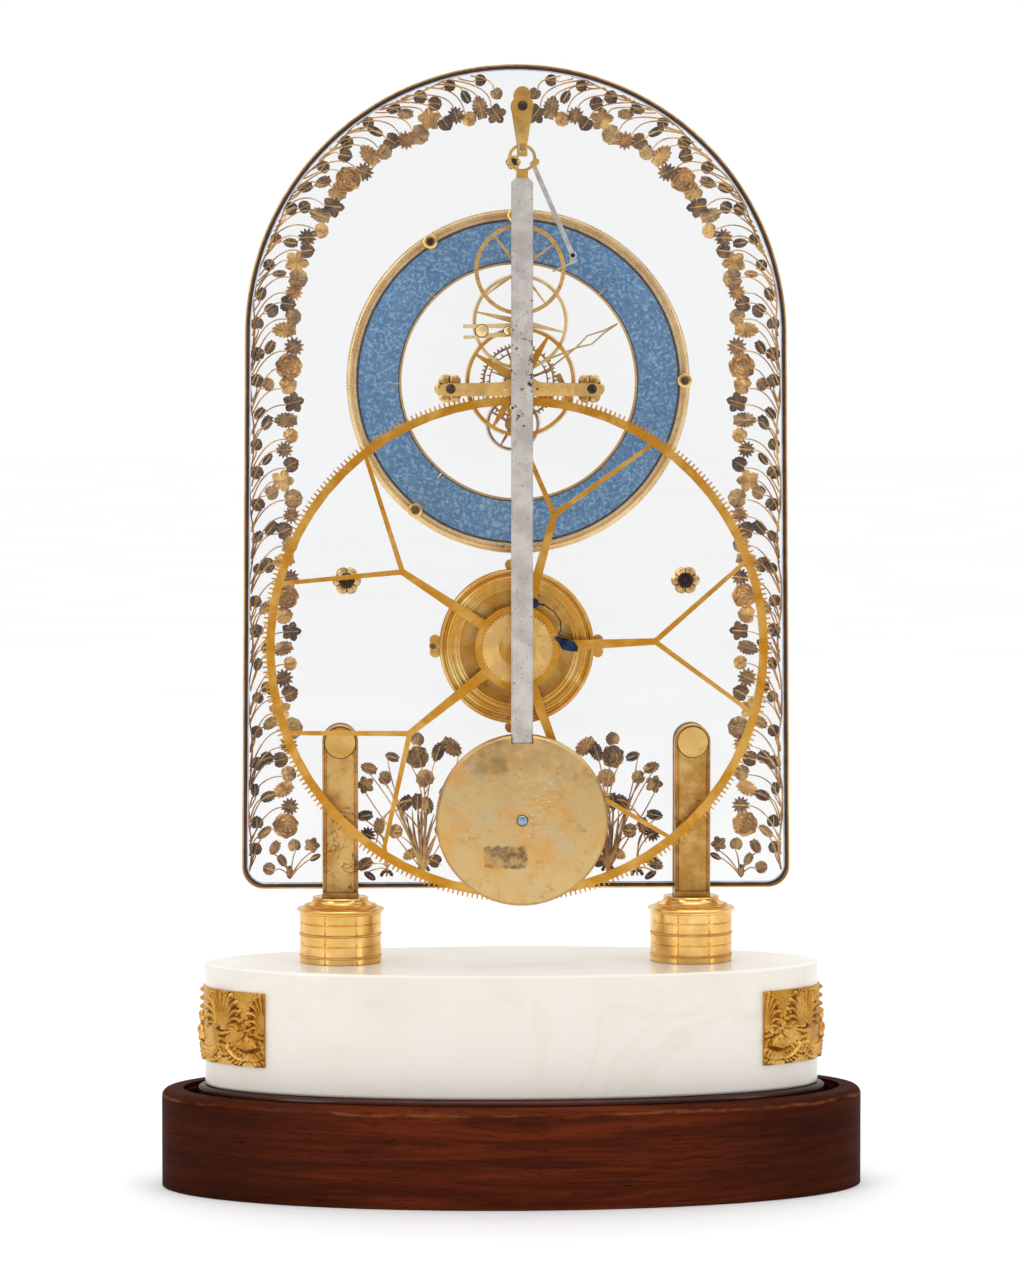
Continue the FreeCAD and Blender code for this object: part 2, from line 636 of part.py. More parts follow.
def plaque_nails():
    """Nails at the front and back of each plaque, where its palmettes spring."""
    nails = []
    t = math.radians(NAIL_ANGLE)
    a, b = MARBLE_A + PLAQUE_T + 0.05, MARBLE_B + PLAQUE_T + 0.05
    for end in (-1, 1):
        for side in (-1, 1):
            at = V(end * a * math.cos(t), side * b * math.sin(t), NAIL_Z)
            out = V(end * math.cos(t) / a, side * math.sin(t) / b, 0).normalize()
            nails.append(Part.makeCylinder(NAIL_R, 0.6, at, out))
    return Part.makeCompound(nails)


def sockets():
    """Turned feet with engraved bands, slotted for the pillars."""
    t = SOCKET_TOP
    profile = [(0, MARBLE_TOP), (SOCKET_R, MARBLE_TOP)]
    for z in (97.0, 101.6, 106.2, 110.8):
        profile += [(SOCKET_R, z - 0.3), (SOCKET_R - 0.3, z), (SOCKET_R, z + 0.3)]
    profile += [(SOCKET_R, SOCKET_DRUM_TOP), (SOCKET_FLANGE_R, SOCKET_DRUM_TOP + 0.6),
                (SOCKET_FLANGE_R, SOCKET_DRUM_TOP + 1.8), (15.5, SOCKET_DRUM_TOP + 2.8),
                (13.2, SOCKET_DRUM_TOP + 3.6), (12.2, t - 0.8), (11.4, t), (0, t)]
    pieces = []
    half_x, half_y = PILLAR_W / 2 + SLACK, pillar_half_depth() + SLACK
    for side in (-1, 1):
        x = PLATE_X + side * SOCKET_DX
        turned_foot = lathe_z(x, 0, profile)
        slot = box((x - half_x, x + half_x), (-half_y, half_y), (PILLAR_FOOT, t + 1))
        hole = rod_z(x, 0, 3.05, (MARBLE_TOP - 1, PILLAR_FOOT))
        pieces.append(turned_foot.cut(slot).cut(hole))
    return Part.makeCompound(pieces)


def pillar_half_depth():
    return FRONT + SLACK + PILLAR_ARM_T


def pillars():
    """Forked uprights that grip the glass from both sides."""
    pieces = []
    half_w, half_d = PILLAR_W / 2, pillar_half_depth()
    for side in (-1, 1):
        x = PLATE_X + side * SOCKET_DX
        bar = box((x - half_w, x + half_w), (-half_d, half_d), (PILLAR_FOOT, BOSS_Z))
        bar = bar.fuse(rod_y(x, BOSS_Z, half_w, (-half_d, half_d)))
        gap = FRONT + SLACK
        bar = bar.cut(box((x - 10, x + 10), (-gap, gap), (PLATE_BOTTOM - 1.0, 200)))
        band, band_top = gap + BAND_PROUD, PLATE_BOTTOM + BAND_T + SLACK
        bar = bar.cut(box((x - 10, x + 10), (-band, band), (PLATE_BOTTOM - 1.0, band_top)))
        bar = bar.cut(rod_z(x, 0, 2.9, (PILLAR_FOOT - 1, 108.0)))
        pieces.append(bar.cut(rod_y(x, BOSS_Z, STUD_R + FIT, (-half_d, half_d))).removeSplitter())
    return Part.makeCompound(pieces)


def pillar_bosses():
    """Boss-headed studs through pillar and glass, with round nuts at the front."""
    pieces = []
    d = pillar_half_depth()
    for side in (-1, 1):
        x = PLATE_X + side * SOCKET_DX
        stud = rod_y(x, BOSS_Z, STUD_R, (-d, d + 2.2))
        head = rod_y(x, BOSS_Z, BOSS_R, (-d - 1.5, -d))
        pieces.append(head.fuse(stud))
        pieces.append(tube_y(x, BOSS_Z, 4.5, STUD_R + 0.02, (d, d + 2.0)))
    return Part.makeCompound(pieces)


def socket_bolts():
    """Bolts from under the base up into the pillars, each with its hexagon nut."""
    pieces = []
    for side in (-1, 1):
        x = PLATE_X + side * SOCKET_DX
        pieces.append(rod_z(x, 0, 2.88, (5.0, 107.0)))
        corners = [V(x + 5.8 * math.cos(math.radians(60 * i)), 5.8 * math.sin(math.radians(60 * i)), 9.0)
                   for i in range(6)]
        nut = Part.Face(Part.makePolygon(corners + [corners[0]])).extrude(V(0, 0, 5.0))
        pieces.append(nut.cut(rod_z(x, 0, 2.9, (8.0, 15.0))))
    return Part.makeCompound(pieces)


# --- glass plate -----------------------------------------------------------------------------------
def plate_outline(inset):
    """Outline of the plate: slightly tapered sides, round top, rounded lower corners."""
    low, high, r = PLATE_HALF_LOW - inset, PLATE_HALF - inset, PLATE_CORNER - inset
    z0, zs = PLATE_BOTTOM + inset, PLATE_SPRING
    x = PLATE_X
    k = math.sqrt(0.5)
    edges = [
        Part.LineSegment(V(x - low + r, 0, z0), V(x + low - r, 0, z0)),
        Part.Arc(V(x + low - r, 0, z0), V(x + low - r + r * k, 0, z0 + r - r * k), V(x + low, 0, z0 + r)),
        Part.LineSegment(V(x + low, 0, z0 + r), V(x + high, 0, zs)),
        Part.Arc(V(x + high, 0, zs), V(x, 0, zs + high), V(x - high, 0, zs)),
        Part.LineSegment(V(x - high, 0, zs), V(x - low, 0, z0 + r)),
        Part.Arc(V(x - low, 0, z0 + r), V(x - low + r - r * k, 0, z0 + r - r * k), V(x - low + r, 0, z0)),
    ]
    return Part.Face(Part.Wire([e.toShape() for e in edges]))


def slab(inset, y):
    face = plate_outline(inset)
    face.translate(V(0, y[0], 0))
    return face.extrude(V(0, y[1] - y[0], 0))


def glass_plate():
    plate = slab(BAND_T + 0.02, (REAR, FRONT))
    through = (REAR - 1, FRONT + 1)
    holes = [rod_y(PLATE_X, GREAT_Z, BARREL_R + SLACK, through)]
    for side in (-1, 1):
        holes.append(rod_y(PLATE_X + side * SOCKET_DX, BOSS_Z, STUD_R + SLACK, through))
        holes.append(rod_y(LINE_X + side * BRIDGE_PILLAR_DX, BRIDGE_PILLAR_Z, 1.5, through))
        holes.append(rod_y(PLATE_X + side * ROSETTE_DX, ROSETTE_Z, ROSETTE_HOLE, through))
    for z in (CENTRE_Z, THIRD_Z, ESCAPE_Z):
        holes.append(rod_y(LINE_X, z, 2.6, through))
    for angle in DIAL_STUD_ANGLES:
        at = polar(LINE_X, CENTRE_Z, DIAL_STUD_R, angle)
        holes.append(rod_y(at.x, at.z, 1.2, through))
    for angle in (0, 90, 180, 270):
        at = polar(PLATE_X, GREAT_Z, EAR_R + 0.9, angle)
        holes.append(rod_y(at.x, at.z, 0.65, (REAR - 1, REAR + 2.7)))
    holes.append(rod_y(LINE_X, SUSPENSION_Z, 1.6, through))
    holes.append(rod_y(LINE_X + MINUTE_DX, CENTRE_Z + MINUTE_DZ, 1.05, through))
    return plate.cut(Part.makeCompound(holes))


def plate_band():
    y = (REAR - BAND_PROUD, FRONT + BAND_PROUD)
    return slab(0, y).cut(slab(BAND_T, y))


def rosette(x, z, y, lobes, r, hole, angle=0.0):
    """Flower-shaped washer."""
    petal = r * 0.42
    petals = [rod_y(p.x, p.z, petal, y) for p in circle_points(x, z, r - petal, lobes, angle)]
    flower = fused(petals + [rod_y(x, z, r * 0.62, y)])
    return flower.cut(rod_y(x, z, hole, y))


def rosettes():
    """Flower washers: two on the plate, two under the bridge pillars and one by the suspension."""
    y = (REAR - ROSETTE_T, REAR)
    pieces = [rosette(PLATE_X + s * ROSETTE_DX, ROSETTE_Z, y, 6, 6.0, ROSETTE_HOLE, 15.0) for s in (-1, 1)]
    for side in (-1, 1):
        pieces.append(rosette(LINE_X + side * BRIDGE_PILLAR_DX, BRIDGE_PILLAR_Z, y, 6, 5.9, 1.5))
    pieces.append(rosette(PLATE_X - 1.3, 429.7, (REAR - 0.6, REAR), 6, 3.2, 0.9))
    return Part.makeCompound(pieces)


def rosette_plugs():
    """Dark dished plugs in the plate rosettes."""
    pieces = []
    for side in (-1, 1):
        x = PLATE_X + side * ROSETTE_DX
        plug = rod_y(x, ROSETTE_Z, ROSETTE_HOLE - 0.03, (REAR - 0.6, FRONT))
        dish = Part.makeCone(ROSETTE_HOLE - 0.6, 1.0, 2.0, V(x, REAR - 0.6, ROSETTE_Z), V(0, 1, 0))
        pieces.append(plug.cut(dish))
    return Part.makeCompound(pieces)


# --- flowers ------------------------------------------------------------------------------------------
def edge_point(distance, inset):
    """Point on the plate's right-hand outline, measured up from the lower corner."""
    start = PLATE_BOTTOM + 8.0
    side = PLATE_SPRING - start
    if distance < side:
        share = distance / side
        half = PLATE_HALF_LOW + (PLATE_HALF - PLATE_HALF_LOW) * share
        return V(half - inset, 0, start + distance)
    angle = math.degrees((distance - side) / PLATE_HALF)
    p = polar(0, PLATE_SPRING, PLATE_HALF - inset, angle)
    return V(p.x, 0, p.z)


def garlands():
    """Flat openwork garlands of leaves on a wavy stem, up each side and over the top."""
    y = (FRONT, FRONT + 0.5)
    run = 390.0
    stem = [edge_point(i * 6.0, 13.0 + 1.5 * math.sin(i * 0.9)) for i in range(int(run / 6))]
    pieces = [strip(stem, 1.2, y)]
    pitch = 8.5
    for i in range(int(run / pitch)):
        for inset, foot, size in ((7.0 + i % 2, 15.5, 2.4), (19.0 - i % 3, 10.5, 3.3)):
            leaf = edge_point(6 + i * pitch, inset)
            root = edge_point(2 + i * pitch, foot)
            pieces.append(prism(circle_points(leaf.x, leaf.z, size, 8, 20.0 * i), y))
            pieces.append(strip([root, leaf], 0.7, y))
    right = fused(pieces)
    left = right.mirror(V(0, 0, 0), V(1, 0, 0))
    for side in (right, left):
        side.translate(V(PLATE_X, 0, 0))
    return Part.makeCompound([left, right])


def bouquets():
    """Two sprays of leaves that fan out from the lower edge beside the bob."""
    y = (FRONT, FRONT + 0.5)
    foot_x, foot_z = 39.0, 132.0
    pieces = [prism(circle_points(foot_x, foot_z, 2.0, 10), y)]
    for i in range(9):
        angle = 62.0 + 8.5 * i
        length = 40.0 + 12.0 * math.sin(math.radians(20.0 * i + 10.0))
        stem = [polar(foot_x, foot_z, length * k / 4.0, angle + 1.5 * k) for k in range(5)]
        pieces.append(strip(stem, 0.9, y))
        for k, size in ((2, 2.6), (3, 3.0), (4, 3.6)):
            pieces.append(prism(circle_points(stem[k].x, stem[k].z, size, 8, 25.0 * i), y))
    right = fused(pieces)
    left = right.mirror(V(0, 0, 0), V(1, 0, 0))
    for side in (right, left):
        side.translate(V(PLATE_X, 0, 0))
    return Part.makeCompound([left, right])


# --- dial -----------------------------------------------------------------------------------------------
def dial_ring():
    return tube_y(LINE_X, CENTRE_Z, DIAL_OUT, DIAL_IN + 0.02, DIAL_Y)


def dial_inner_ring():
    """Thin hoop that trims the dial's inner edge."""
    return tube_y(LINE_X, CENTRE_Z, DIAL_IN, DIAL_IN - 0.9, (DIAL_Y[0] - 0.6, DIAL_Y[1] + 0.6))


def dial_bezel():
    """Frame round the dial, with a knurled edge and a seat for the dial ring."""
    outline = toothed_outline(LINE_X, CENTRE_Z, KNURLS, BEZEL_OUT - 0.45, BEZEL_OUT, 0.4, 0.12, 0.0)
    seat = circle_points(LINE_X, CENTRE_Z, DIAL_OUT + 0.1, 180)
    front = circle_points(LINE_X, CENTRE_Z, DIAL_OUT - 1.2, 180)
    back = prism(outline, (BEZEL_Y[0], DIAL_Y[1] + 0.05), [seat])
    edge = circle_points(LINE_X, CENTRE_Z, BEZEL_OUT - 0.9, 180)
    lip = prism(edge, (DIAL_Y[1] + 0.05, BEZEL_Y[1]), [front])
    return back.fuse(lip).removeSplitter()


def dial_washers():
    pieces = []
    for angle in DIAL_STUD_ANGLES:
        at = polar(LINE_X, CENTRE_Z, DIAL_STUD_R, angle)
        pieces.append(tube_y(at.x, at.z, 3.1, 1.15, (REAR - 1.0, REAR)))
    return Part.makeCompound(pieces)


# --- bridge, bars, cocks ---------------------------------------------------------------------------------
def movement_pillars():
    """Gilt posts: two under the bridge, four dial feet, the minute-wheel stud."""
    pieces = []
    for side in (-1, 1):
        x = LINE_X + side * BRIDGE_PILLAR_DX
        post = rod_y(x, BRIDGE_PILLAR_Z, 2.5, (BRIDGE_Y[1], REAR - ROSETTE_T))
        post = post.fuse(rod_y(x, BRIDGE_PILLAR_Z, 1.4, (REAR - ROSETTE_T, FRONT + 2.4)))
        pieces.append(post.cut(rod_y(x, BRIDGE_PILLAR_Z, 1.25, (BRIDGE_Y[1], BRIDGE_Y[1] + 6.0))))
        pieces.append(tube_y(x, BRIDGE_PILLAR_Z, 2.8, 1.42, (FRONT, FRONT + 1.8)))
    for angle in DIAL_STUD_ANGLES:
        at = polar(LINE_X, CENTRE_Z, DIAL_STUD_R, angle)
        post = rod_y(at.x, at.z, 2.2, (FRONT, BEZEL_Y[0]))
        pieces.append(post.cut(rod_y(at.x, at.z, 1.15, (FRONT, 7.2))))
    stud_x, stud_z = LINE_X + MINUTE_DX, CENTRE_Z + MINUTE_DZ
    stud = rod_y(stud_x, stud_z, 1.0, (REAR, 9.6))
    stud = stud.fuse(rod_y(stud_x, stud_z, 2.0, (FRONT, MINUTE_Y[0] - 0.3)))
    pieces.append(stud.fuse(rod_y(stud_x, stud_z, 1.7, (9.15, 9.9))))
    return Part.makeCompound(pieces)


def rear_bridge():
    """Flat bar across the pillars, a little deeper in the middle."""
    low, high = BRIDGE_Z
    top = high + 0.8
    points = [V(-BRIDGE_HALF, 0, low), V(BRIDGE_HALF, 0, low), V(BRIDGE_HALF, 0, high - 0.6), V(8.0, 0, high),
              V(5.0, 0, top + 0.6), V(-5.0, 0, top + 0.6), V(-8.0, 0, high), V(-BRIDGE_HALF, 0, high - 0.6)]
    bar = prism([V(p.x + LINE_X, 0, p.z) for p in points], BRIDGE_Y)
    for side in (-1, 1):
        bar = bar.cut(rod_y(LINE_X + side * BRIDGE_PILLAR_DX, BRIDGE_PILLAR_Z, 1.3, BRIDGE_Y))
        bar = bar.cut(rod_y(LINE_X + side * 6.65, BRIDGE_PILLAR_Z, 0.6, BRIDGE_Y))
    bar = bar.cut(rod_y(LINE_X, CENTRE_Z, 0.6 + FIT, BRIDGE_Y))
    ends = [rod_y(LINE_X + s * BRIDGE_HALF, (low + high - 0.6) / 2, (high - 0.6 - low) / 2, BRIDGE_Y)
            for s in (-1, 1)]
    holes = [rod_y(LINE_X + s * BRIDGE_PILLAR_DX, BRIDGE_PILLAR_Z, 1.3, BRIDGE_Y) for s in (-1, 1)]
    return fused([bar] + ends).cut(Part.makeCompound(holes))


def train_bar():
    """Upright bar behind the rod that carries the rear pivots of the train."""
    half = BAR_W / 2
    bar = box((LINE_X - half, LINE_X + half), BAR_Y, BAR_Z)
    bar = bar.fuse(box((LINE_X - 8.2, LINE_X + 8.2), BAR_Y, (BRIDGE_Z[0], BRIDGE_Z[1] - 0.7)))
    pivots = [rod_y(LINE_X, CENTRE_Z, 0.6 + FIT, BAR_Y), rod_y(LINE_X, THIRD_Z, 0.5 + FIT, BAR_Y),
              rod_y(LINE_X, ESCAPE_Z, 0.45 + FIT, BAR_Y)]
    steady = [rod_y(LINE_X + s * 6.65, BRIDGE_PILLAR_Z, 0.6, BAR_Y) for s in (-1, 1)]
    return bar.cut(Part.makeCompound(pivots + steady)).removeSplitter()


def third_cock():
    """Slotted slide with a forked tail, clamped to the train bar."""
    x, z = LINE_X, THIRD_Z - 3.7
    y = (BAR_Y[1], BAR_Y[1] + 1.2)
    tail = x - 24.0
    points = [V(tail, 0, z + 2.6), V(tail, 0, z + 1.1), V(tail + 6.0, 0, z + 1.1),
              V(tail + 6.0, 0, z - 1.9), V(tail, 0, z - 1.9), V(tail, 0, z - 3.4),
              V(x - 4.0, 0, z - 2.4), V(x + 2.0, 0, z - 2.0),
              V(x + 2.0, 0, z + 2.4), V(x - 4.0, 0, z + 3.2)]
    slot = [V(x - 15.0, 0, z - 1.0), V(x - 7.0, 0, z - 0.7), V(x - 7.0, 0, z + 1.1), V(x - 15.0, 0, z + 1.1)]
    plate = prism(points, y, [slot, bore_points(x, THIRD_Z, 1.6, 16)])
    discs = [rod_y(x - 16.3, z, 2.5, (y[0] - 0.8, y[0])), rod_y(x - 5.4, z, 1.7, (y[0] - 0.6, y[0]))]
    return fused([plate] + discs)


def pivot_bushes():
    """Brass bushes in the glass for the train's front pivots and the centre arbor."""
    pieces = []
    for z, r in ((CENTRE_Z, ARBOR_R + FIT), (THIRD_Z, 0.5 + FIT), (ESCAPE_Z, 0.45 + FIT)):
        body = rod_y(LINE_X, z, 2.55, (REAR + 3.0, FRONT))
        head = rod_y(LINE_X, z, 3.0, (FRONT, FRONT + 0.6))
        bush = body.fuse(head).cut(rod_y(LINE_X, z, r, (REAR, FRONT + 1)))
        if z != CENTRE_Z:
            bush = bush.cut(rod_y(LINE_X, z, ARBOR_R + 0.2, (REAR + 3.0, 1.2)))
        pieces.append(bush)
    return Part.makeCompound(pieces)


def cock_outline(y):
    """Front plate of the suspension cock: round head, tapering to a short foot."""
    x, z0, z1 = LINE_X, KNIFE_Z + 3.2, SUSPENSION_Z
    head = rod_y(x, z1, 4.6, y)
    top = rod_y(x, z1 + 4.6, 3.4, y)
    taper = prism([V(x - 4.5, 0, z1), V(x - 2.0, 0, z0), V(x + 2.0, 0, z0), V(x + 4.5, 0, z1)], y)
    return fused([head, top, taper])


def suspension_cock():
    """Cock on a post from the glass; its cross bar carries the knife edge."""
    front = cock_outline(COCK_Y)
    rear = cock_outline((-27.4, -26.0))
    post = rod_y(LINE_X, SUSPENSION_Z, 3.0, (COCK_Y[1], REAR))
    post = post.fuse(rod_y(LINE_X, SUSPENSION_Z, 1.5, (REAR, FRONT + 2.2)))
    half = 1.1
    saddle = box((LINE_X - half, LINE_X + half), (COCK_Y[0], -26.0), SADDLE_Z)
    legs = []
    for y in (COCK_Y, (-27.4, -26.0)):
        for side in (-1, 1):
            x = sorted((LINE_X + side * 1.2, LINE_X + side * 2.0))
            legs.append(box(x, y, (KNIFE_Z - 1.8, KNIFE_Z + 3.4)))
        legs.append(box((LINE_X - 2.0, LINE_X + 2.0), y, SADDLE_Z))
    nut = tube_y(LINE_X, SUSPENSION_Z, 3.2, 1.52, (FRONT, FRONT + 1.8))
    cock = fused([front, rear, post, saddle] + legs)
    cock = cock.cut(rod_y(LINE_X, SUSPENSION_Z, 1.0, (COCK_Y[0], COCK_Y[0] + 8.0)))
    return Part.makeCompound([cock, nut])


def cock_screws():
    """Blued screws of the bridge, the suspension cock and the rosette beside it."""
    pieces = []
    for i, side in enumerate((-1, 1)):
        x = LINE_X + side * BRIDGE_PILLAR_DX
        head = (BRIDGE_Y[0] - 1.0, BRIDGE_Y[0])
        pieces.append(slotted_screw(x, BRIDGE_PILLAR_Z, 2.0, head, 1.2, BRIDGE_Y[1] + 5.5, 30.0 + 50 * i))
    head = (COCK_Y[0] - 1.0, COCK_Y[0])
    pieces.append(slotted_screw(LINE_X, SUSPENSION_Z, 2.0, head, 0.95, COCK_Y[0] + 7.5))
    pieces.append(slotted_screw(PLATE_X - 1.3, 429.7, 1.3, (REAR - 1.4, REAR - 0.6), 0.8, REAR, 70.0))
    return Part.makeCompound(pieces)


def date_jumper():
    """Pointed detent beside the date wheel, on its own foot."""
    x, z = LINE_X + 20.5, CENTRE_Z - 7.0
    tip = V(LINE_X + DATE_R + 0.8, 0, CENTRE_Z + 2.6)
    points = [tip, V(tip.x + 2.4, 0, tip.z + 1.0), V(x + 1.2, 0, z + 2.0), V(x + 1.6, 0, z - 1.6),
              V(x - 1.6, 0, z - 1.6), V(x - 1.2, 0, z + 2.0), V(tip.x + 0.8, 0, tip.z - 1.6)]
    return prism(points, DATE_Y).fuse(rod_y(x, z, 1.3, (FRONT, DATE_Y[0]))).removeSplitter()


# --- pendulum -----------------------------------------------------------------------------------------------
def knife_bar(grow, y):
    """Wedge with a rounded lower edge about the pendulum's axis, enlarged all round by grow."""
    top = KNIFE_Z + KNIFE_H + grow
    foot, head = 0.95 * KNIFE_R + grow, KNIFE_HALF_W + grow
    wedge = prism([V(LINE_X - foot, 0, KNIFE_Z), V(LINE_X + foot, 0, KNIFE_Z),
                   V(LINE_X + head, 0, top), V(LINE_X - head, 0, top)], y)
    return wedge.fuse(rod_y(LINE_X, KNIFE_Z, KNIFE_R + grow, y)).removeSplitter()


def knife_edge():
    """Steel wedge whose rounded lower edge is the pendulum's axis."""
    return knife_bar(0.0, (-34.6, -27.8))


def pendulum_ring():
    """Gilt ring hung on the knife edge, with the tab that joins the rod."""
    z = KNIFE_Z - 2.5
    ring = tube_y(LINE_X, z, RING_R, RING_R - 1.25, RING_Y)
    top = box((LINE_X - 1.5, LINE_X + 1.5), RING_Y, (KNIFE_Z + 0.2, KNIFE_Z + 3.0))
    tab = box((LINE_X - 2.4, LINE_X + 2.4), RING_Y, (ROD_Z[1] - 8.0, z - RING_R + 0.8))
    boss = rod_y(LINE_X + 5.6, z - 1.6, 1.5, (RING_Y[0], RING_Y[1]))
    return fused([ring, top, tab, boss]).cut(knife_bar(FIT, RING_Y))


def pendulum_rod():
    """Flat steel rod, let into the bob at its lower end."""
    rod = box((LINE_X - ROD_W / 2, LINE_X + ROD_W / 2), ROD_Y, ROD_Z)
    mortise = box((LINE_X - 2.45, LINE_X + 2.45), (RING_Y[0] - 0.05, RING_Y[1] + 0.05),
                  (ROD_Z[1] - 8.1, ROD_Z[1] + 1))
    return rod.cut(mortise).cut(rod_y(LINE_X, BRIDGE_PILLAR_Z, 0.6, ROD_Y))


def pendulum_bob():
    """Gilt disc with slightly domed faces."""
    x, z = LINE_X, BOB_Z
    front = Part.makeCone(BOB_R - 1.6, BOB_R - 0.4, 1.4, V(x, BOB_Y[0], z), V(0, 1, 0))
    middle = rod_y(x, z, BOB_R, (BOB_Y[0] + 1.4, BOB_Y[1] - 1.4))
    back = Part.makeCone(BOB_R - 0.4, BOB_R - 1.6, 1.4, V(x, BOB_Y[1] - 1.4, z), V(0, 1, 0))
    disc = fused([front, middle, back])
    half = ROD_W / 2 + 0.05
    notch = box((x - half, x + half), (BOB_Y[0] - 1, ROD_Y[1] + 0.05), (ROD_Z[0] - 0.05, BOB_Z + BOB_R + 2))
    return disc.cut(notch).cut(rod_y(x, z, 1.5, (BOB_Y[0] - 1, BOB_Y[0] + 5.0)))


def pendulum_screws():
    """Screws in the bob's middle and at the end of the pallet arm."""
    bob = slotted_screw(LINE_X, BOB_Z, 1.9, (BOB_Y[0] - 0.5, BOB_Y[0]), 1.4, BOB_Y[0] + 4.6, 60.0)
    head = (PALLET_Y[0] - 0.5, PALLET_Y[0])
    arm = slotted_screw(ARM_END_X, ARM_END_Z, 0.9, head, 0.5, PALLET_Y[1], 20.0)
    return Part.makeCompound([bob, arm])


def pallet_arm():
    """Arbor from the pendulum's ring to the arm that carries the pallets by the escape wheel."""
    x0, z0 = LINE_X + 5.6, KNIFE_Z - 4.1
    x1, z1 = ARM_END_X, ARM_END_Z
    arbor = rod_y(x0, z0, 0.9, (RING_Y[1], PALLET_Y[1]))
    arm = strip([V(x0, 0, z0), V(x1, 0, z1)], 2.0, PALLET_Y)
    arm = fused([arbor, arm, rod_y(x0, z0, 1.4, PALLET_Y), rod_y(x1, z1, 1.7, PALLET_Y)])
    tip = [V(x1 + 1.9, 0, z1 - 1.7), V(x1 + 2.0, 0, z1 - 2.7),
           V(x1 - 8.4, 0, z1 - 7.2), V(x1 - 8.6, 0, z1 - 6.4)]
    claw = [V(x1 + 1.3, 0, z1 - 0.7), V(x1 + 1.9, 0, z1 - 2.0),
            V(x1 - 1.2, 0, z1 - 3.0), V(x1 - 1.4, 0, z1 - 0.9)]
    blade = prism(tip, (PALLET_Y[0], PALLET_Y[0] + 0.7))
    screw_hole = rod_y(x1, z1, 0.52, (PALLET_Y[0] - 1, PALLET_Y[1] + 1))
    return fused([arm, blade, prism(claw, PALLET_Y)]).cut(screw_hole)


PARTS = {
    "base_board": base_board, "base_rim": base_rim, "inner_platform": inner_platform,
    "marble_plinth": marble_plinth, "plaques": plaques, "plaque_nails": plaque_nails,
    "sockets": sockets, "socket_bolts": socket_bolts, "pillars": pillars, "pillar_bosses": pillar_bosses,
    "glass_plate": glass_plate, "plate_band": plate_band, "garlands": garlands, "bouquets": bouquets,
    "rosettes": rosettes, "rosette_plugs": rosette_plugs, "plate_screws": plate_screws,
    "dial_ring": dial_ring, "dial_inner_ring": dial_inner_ring, "dial_bezel": dial_bezel,
    "dial_washers": dial_washers, "movement_pillars": movement_pillars,
    "barrel_drum": barrel_drum, "barrel_cover": barrel_cover, "barrel_ears": barrel_ears,
    "mainspring": mainspring, "rear_bridge": rear_bridge, "train_bar": train_bar,
    "third_cock": third_cock, "pivot_bushes": pivot_bushes, "suspension_cock": suspension_cock,
    "cock_screws": cock_screws, "date_jumper": date_jumper,
    "great_wheel": great_wheel, "click_screws": click_screws, "click_spring": click_spring, "click": click,
    "barrel_arbor": barrel_arbor, "ratchet_wheel": ratchet_wheel,
    "centre_arbor": centre_arbor, "centre_pinions": centre_pinions,
    "centre_wheel": centre_wheel, "minute_hand": minute_hand,
    "third_arbor": third_arbor, "third_wheel": third_wheel,
    "escape_arbor": escape_arbor, "escape_wheel": escape_wheel, "escape_pins": escape_pins,
    "minute_wheel": minute_wheel, "hour_wheel": hour_wheel,
    "hour_hand": hour_hand,
    "date_wheel": date_wheel, "knife_edge": knife_edge, "pendulum_ring": pendulum_ring,
    "pendulum_rod": pendulum_rod, "pendulum_bob": pendulum_bob, "pendulum_screws": pendulum_screws,
    "pallet_arm": pallet_arm,
}


def main():
    os.makedirs("parts", exist_ok=True)
    for name, make in PARTS.items():
        shape = make()
        if not shape.isValid() or shape.Volume <= 0:
            raise ValueError(name + " is not a valid solid")
        shape.exportStep("parts/" + name + ".step")
        print(f"{name}: {len(shape.Solids)} solids, {shape.Volume:.1f} mm3")


main()
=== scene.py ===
"""Skeleton clock: materials, gilt flowers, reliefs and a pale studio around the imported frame.

The frame is in metres, +Z up; the movement faces -Y and the dial faces +Y. Shapes are drawn in
millimetres and scaled when they become a piece; the patterns of the materials are in metres.
"""
import bisect
import math
import random

import bmesh
import bpy
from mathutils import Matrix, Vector


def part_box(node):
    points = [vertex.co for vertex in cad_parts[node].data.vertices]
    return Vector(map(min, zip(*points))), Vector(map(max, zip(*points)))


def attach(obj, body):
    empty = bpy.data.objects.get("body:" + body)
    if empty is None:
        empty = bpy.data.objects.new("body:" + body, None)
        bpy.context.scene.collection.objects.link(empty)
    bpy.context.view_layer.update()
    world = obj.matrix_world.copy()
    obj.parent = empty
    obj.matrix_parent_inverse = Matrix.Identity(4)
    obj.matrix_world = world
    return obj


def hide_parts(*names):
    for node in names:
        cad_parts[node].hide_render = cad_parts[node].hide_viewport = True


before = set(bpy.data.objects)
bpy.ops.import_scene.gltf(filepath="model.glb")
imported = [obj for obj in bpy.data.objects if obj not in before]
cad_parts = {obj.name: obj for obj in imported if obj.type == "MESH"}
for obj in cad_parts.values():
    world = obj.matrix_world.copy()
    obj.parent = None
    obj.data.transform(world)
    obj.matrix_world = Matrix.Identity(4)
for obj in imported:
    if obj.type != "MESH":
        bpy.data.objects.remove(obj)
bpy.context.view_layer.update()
MM = 0.001
TAU = 2 * math.pi
SIDES = ((-1, "left"), (1, "right"))


# --- places read from the frame, in millimetres -----------------------------------------
def box(node):
    """Low corner, high corner and middle of a CAD node."""
    low, high = [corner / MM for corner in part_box(node)]
    return low, high, (low + high) / 2


